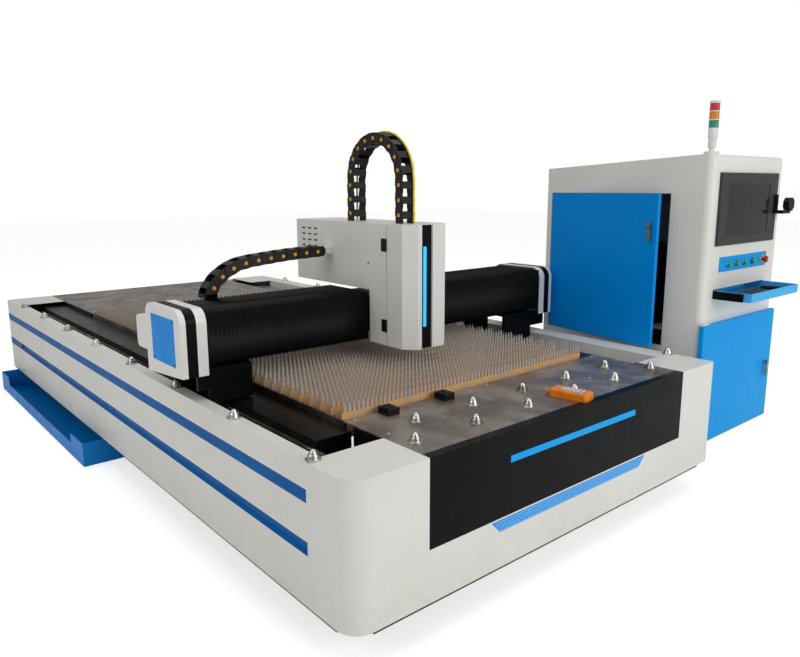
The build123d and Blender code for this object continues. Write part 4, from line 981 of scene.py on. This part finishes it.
def make_button_rings():
    places = [at(x, BUTTON_FACE, BUTTON_HEIGHT) for x in BUTTON_ROW]
    bm = bmesh.new()
    turned(bm, [(19, 0), (19, 3.5), (17.5, 5), (16.0, 5), (16.0, 1.0), (0, 1.0)],
           Vector((0, 0, 0)), segments=24)
    ring = to_mesh("collar_unit", bm)
    turns = [facing((0, -1, 0))] * len(places)
    copies("button_collars", ring, places, BRIGHT_STEEL, "machine", turns=turns, smooth=40)
    bm = bmesh.new()
    turned(bm, [(26, 0), (26, 1.6), (0, 1.6)], at(STOP_X, BUTTON_FACE, BUTTON_HEIGHT),
           (0, -1, 0), 28)
    shown("stop_ring", to_mesh("stop_ring", bm), STOP_YELLOW, "machine", smooth=40)


# Signal tower

def lens_profile(z, radius, height, ribs):
    # a ribbed lens, from its lower rim to its upper one
    points = [(radius - 6, z), (radius, z), (radius, z + 1.5)]
    pitch = (height - 3) / ribs
    for i in range(ribs):
        points += [(radius, z + 1.5 + (i + 0.1) * pitch), (radius - 1.4, z + 1.5 + (i + 0.5) * pitch),
                   (radius, z + 1.5 + (i + 0.9) * pitch)]
    return points + [(radius - 6, z + height)]


def make_tower():
    centre = at(2948.0, 420.0, 0.0)
    base, level_height, collar = 1894.0, 47.7, 6.0
    for level, (name, material) in enumerate((
            ("tower_green", LENS_GREEN), ("tower_amber", LENS_AMBER), ("tower_red", LENS_RED))):
        z = base + level * level_height
        bm = bmesh.new()
        turned(bm, lens_profile(z, 27.6, level_height - collar, 6), centre, segments=36)
        lens = shown(name + "_lens", to_mesh(name, bm), material, "machine", smooth=30)
        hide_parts(name)
    bm = bmesh.new()
    turned(bm, [(42, 1707), (42, 1757), (40, 1760), (17, 1761), (16, 1781), (22, 1782), (23, 1784),
                (23, 1834), (26, 1835), (27, 1837), (27, 1892), (26, base)], centre, segments=36)
    for level in range(3):
        z = base + (level + 1) * level_height
        turned(bm, [(21, z - collar), (28, z - collar), (28, z - 0.4), (21, z)], centre, segments=36)
    top = base + 3 * level_height
    turned(bm, [(20, top), (28, top), (28, top + 6), (25, top + 9), (12, top + 10), (0, top + 10)],
           centre, segments=36)
    stem = shown("tower_post", to_mesh("tower_post", bm), WHITE_ABS, "machine", smooth=30)
    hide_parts("tower_stem")


# Camera, light and floor

def make_camera():
    data = bpy.data.cameras.new("camera")
    camera = bpy.data.objects.new("camera", data)
    bpy.context.scene.collection.objects.link(camera)
    right = Vector((0.76399149, -0.64521814, -0.00324766))
    up = -Vector((-0.12323653, -0.14097782, -0.98231258))
    back = -Vector((0.63334805, 0.75087869, -0.1872203))
    turn = Matrix((right, up, back)).transposed().to_4x4()
    place_at = Vector((-1157.2886, -1606.1182, 1571.6473)) * MM - BED_CORNER
    camera.matrix_world = Matrix.Translation(place_at) @ turn
    data.sensor_width = 36.0
    data.lens = 36.0 * 698.7425 / 800.0
    data.shift_x = (400.0 - 398.881) / 800.0
    data.shift_y = (318.481 - 328.5) / 800.0
    data.clip_end = 60.0
    bpy.context.scene.camera = camera


def area_light(name, where, target, size, power):
    data = bpy.data.lights.new(name, "AREA")
    data.shape = "RECTANGLE"
    data.size, data.size_y = size
    data.energy = power
    lamp = bpy.data.objects.new(name, data)
    lamp.location = where
    lamp.rotation_euler = (Vector(target) - Vector(where)).to_track_quat("-Z", "Y").to_euler()
    bpy.context.scene.collection.objects.link(lamp)


def make_stage():
    scene = bpy.context.scene
    scene.view_settings.view_transform = "Standard"
    world = bpy.data.worlds.new("studio")
    world.use_nodes = True
    tree = world.node_tree
    background = tree.nodes["Background"]
    seen = node(tree, "ShaderNodeLightPath").outputs["Is Camera Ray"]
    strength = span(tree, seen, 0.0, 1.0, 0.4, 1.0)
    background.inputs[0].default_value = (1.0, 1.0, 1.0, 1.0)
    tree.links.new(strength, background.inputs[1])
    scene.world = world
    area_light("overhead", (0.6, -0.6, 6.0), (0.4, 0.0, 0.5), (7.0, 8.0), 130.0)
    area_light("front", (1.4, -8.5, 3.6), (0.4, -0.5, 0.8), (6.0, 3.5), 215.0)
    area_light("left", (-7.0, -1.5, 4.4), (0.0, 0.0, 1.0), (4.0, 2.5), 75.0)
    mesh = bpy.data.meshes.new("floor")
    half = 30.0
    mesh.from_pydata([(-half, -half, 0), (half, -half, 0), (half, half, 0), (-half, half, 0)], [],
                     [(0, 1, 2, 3)])
    material, tree, shader = finish("pale studio floor", "#F4F4F2", 0.7)
    shader.inputs["Emission Color"].default_value = (1.0, 1.0, 1.0, 1.0)
    seen = node(tree, "ShaderNodeLightPath").outputs["Is Camera Ray"]
    tree.links.new(span(tree, seen, 0.0, 1.0, 0.05, 0.6), shader.inputs["Emission Strength"])
    floor = bpy.data.objects.new("floor", mesh)
    mesh.materials.append(material)
    scene.collection.objects.link(floor)


make_camera()
make_stage()
dress_nodes()
make_rear_stripes()
make_remote_face()
make_slats()
make_bellows()
make_cross_chain()
make_lift_chain()
make_ball_transfers()
make_screws()
make_racks()
make_vent_strip()
make_keyboard()
make_button_caps()
make_button_rings()
make_tower()
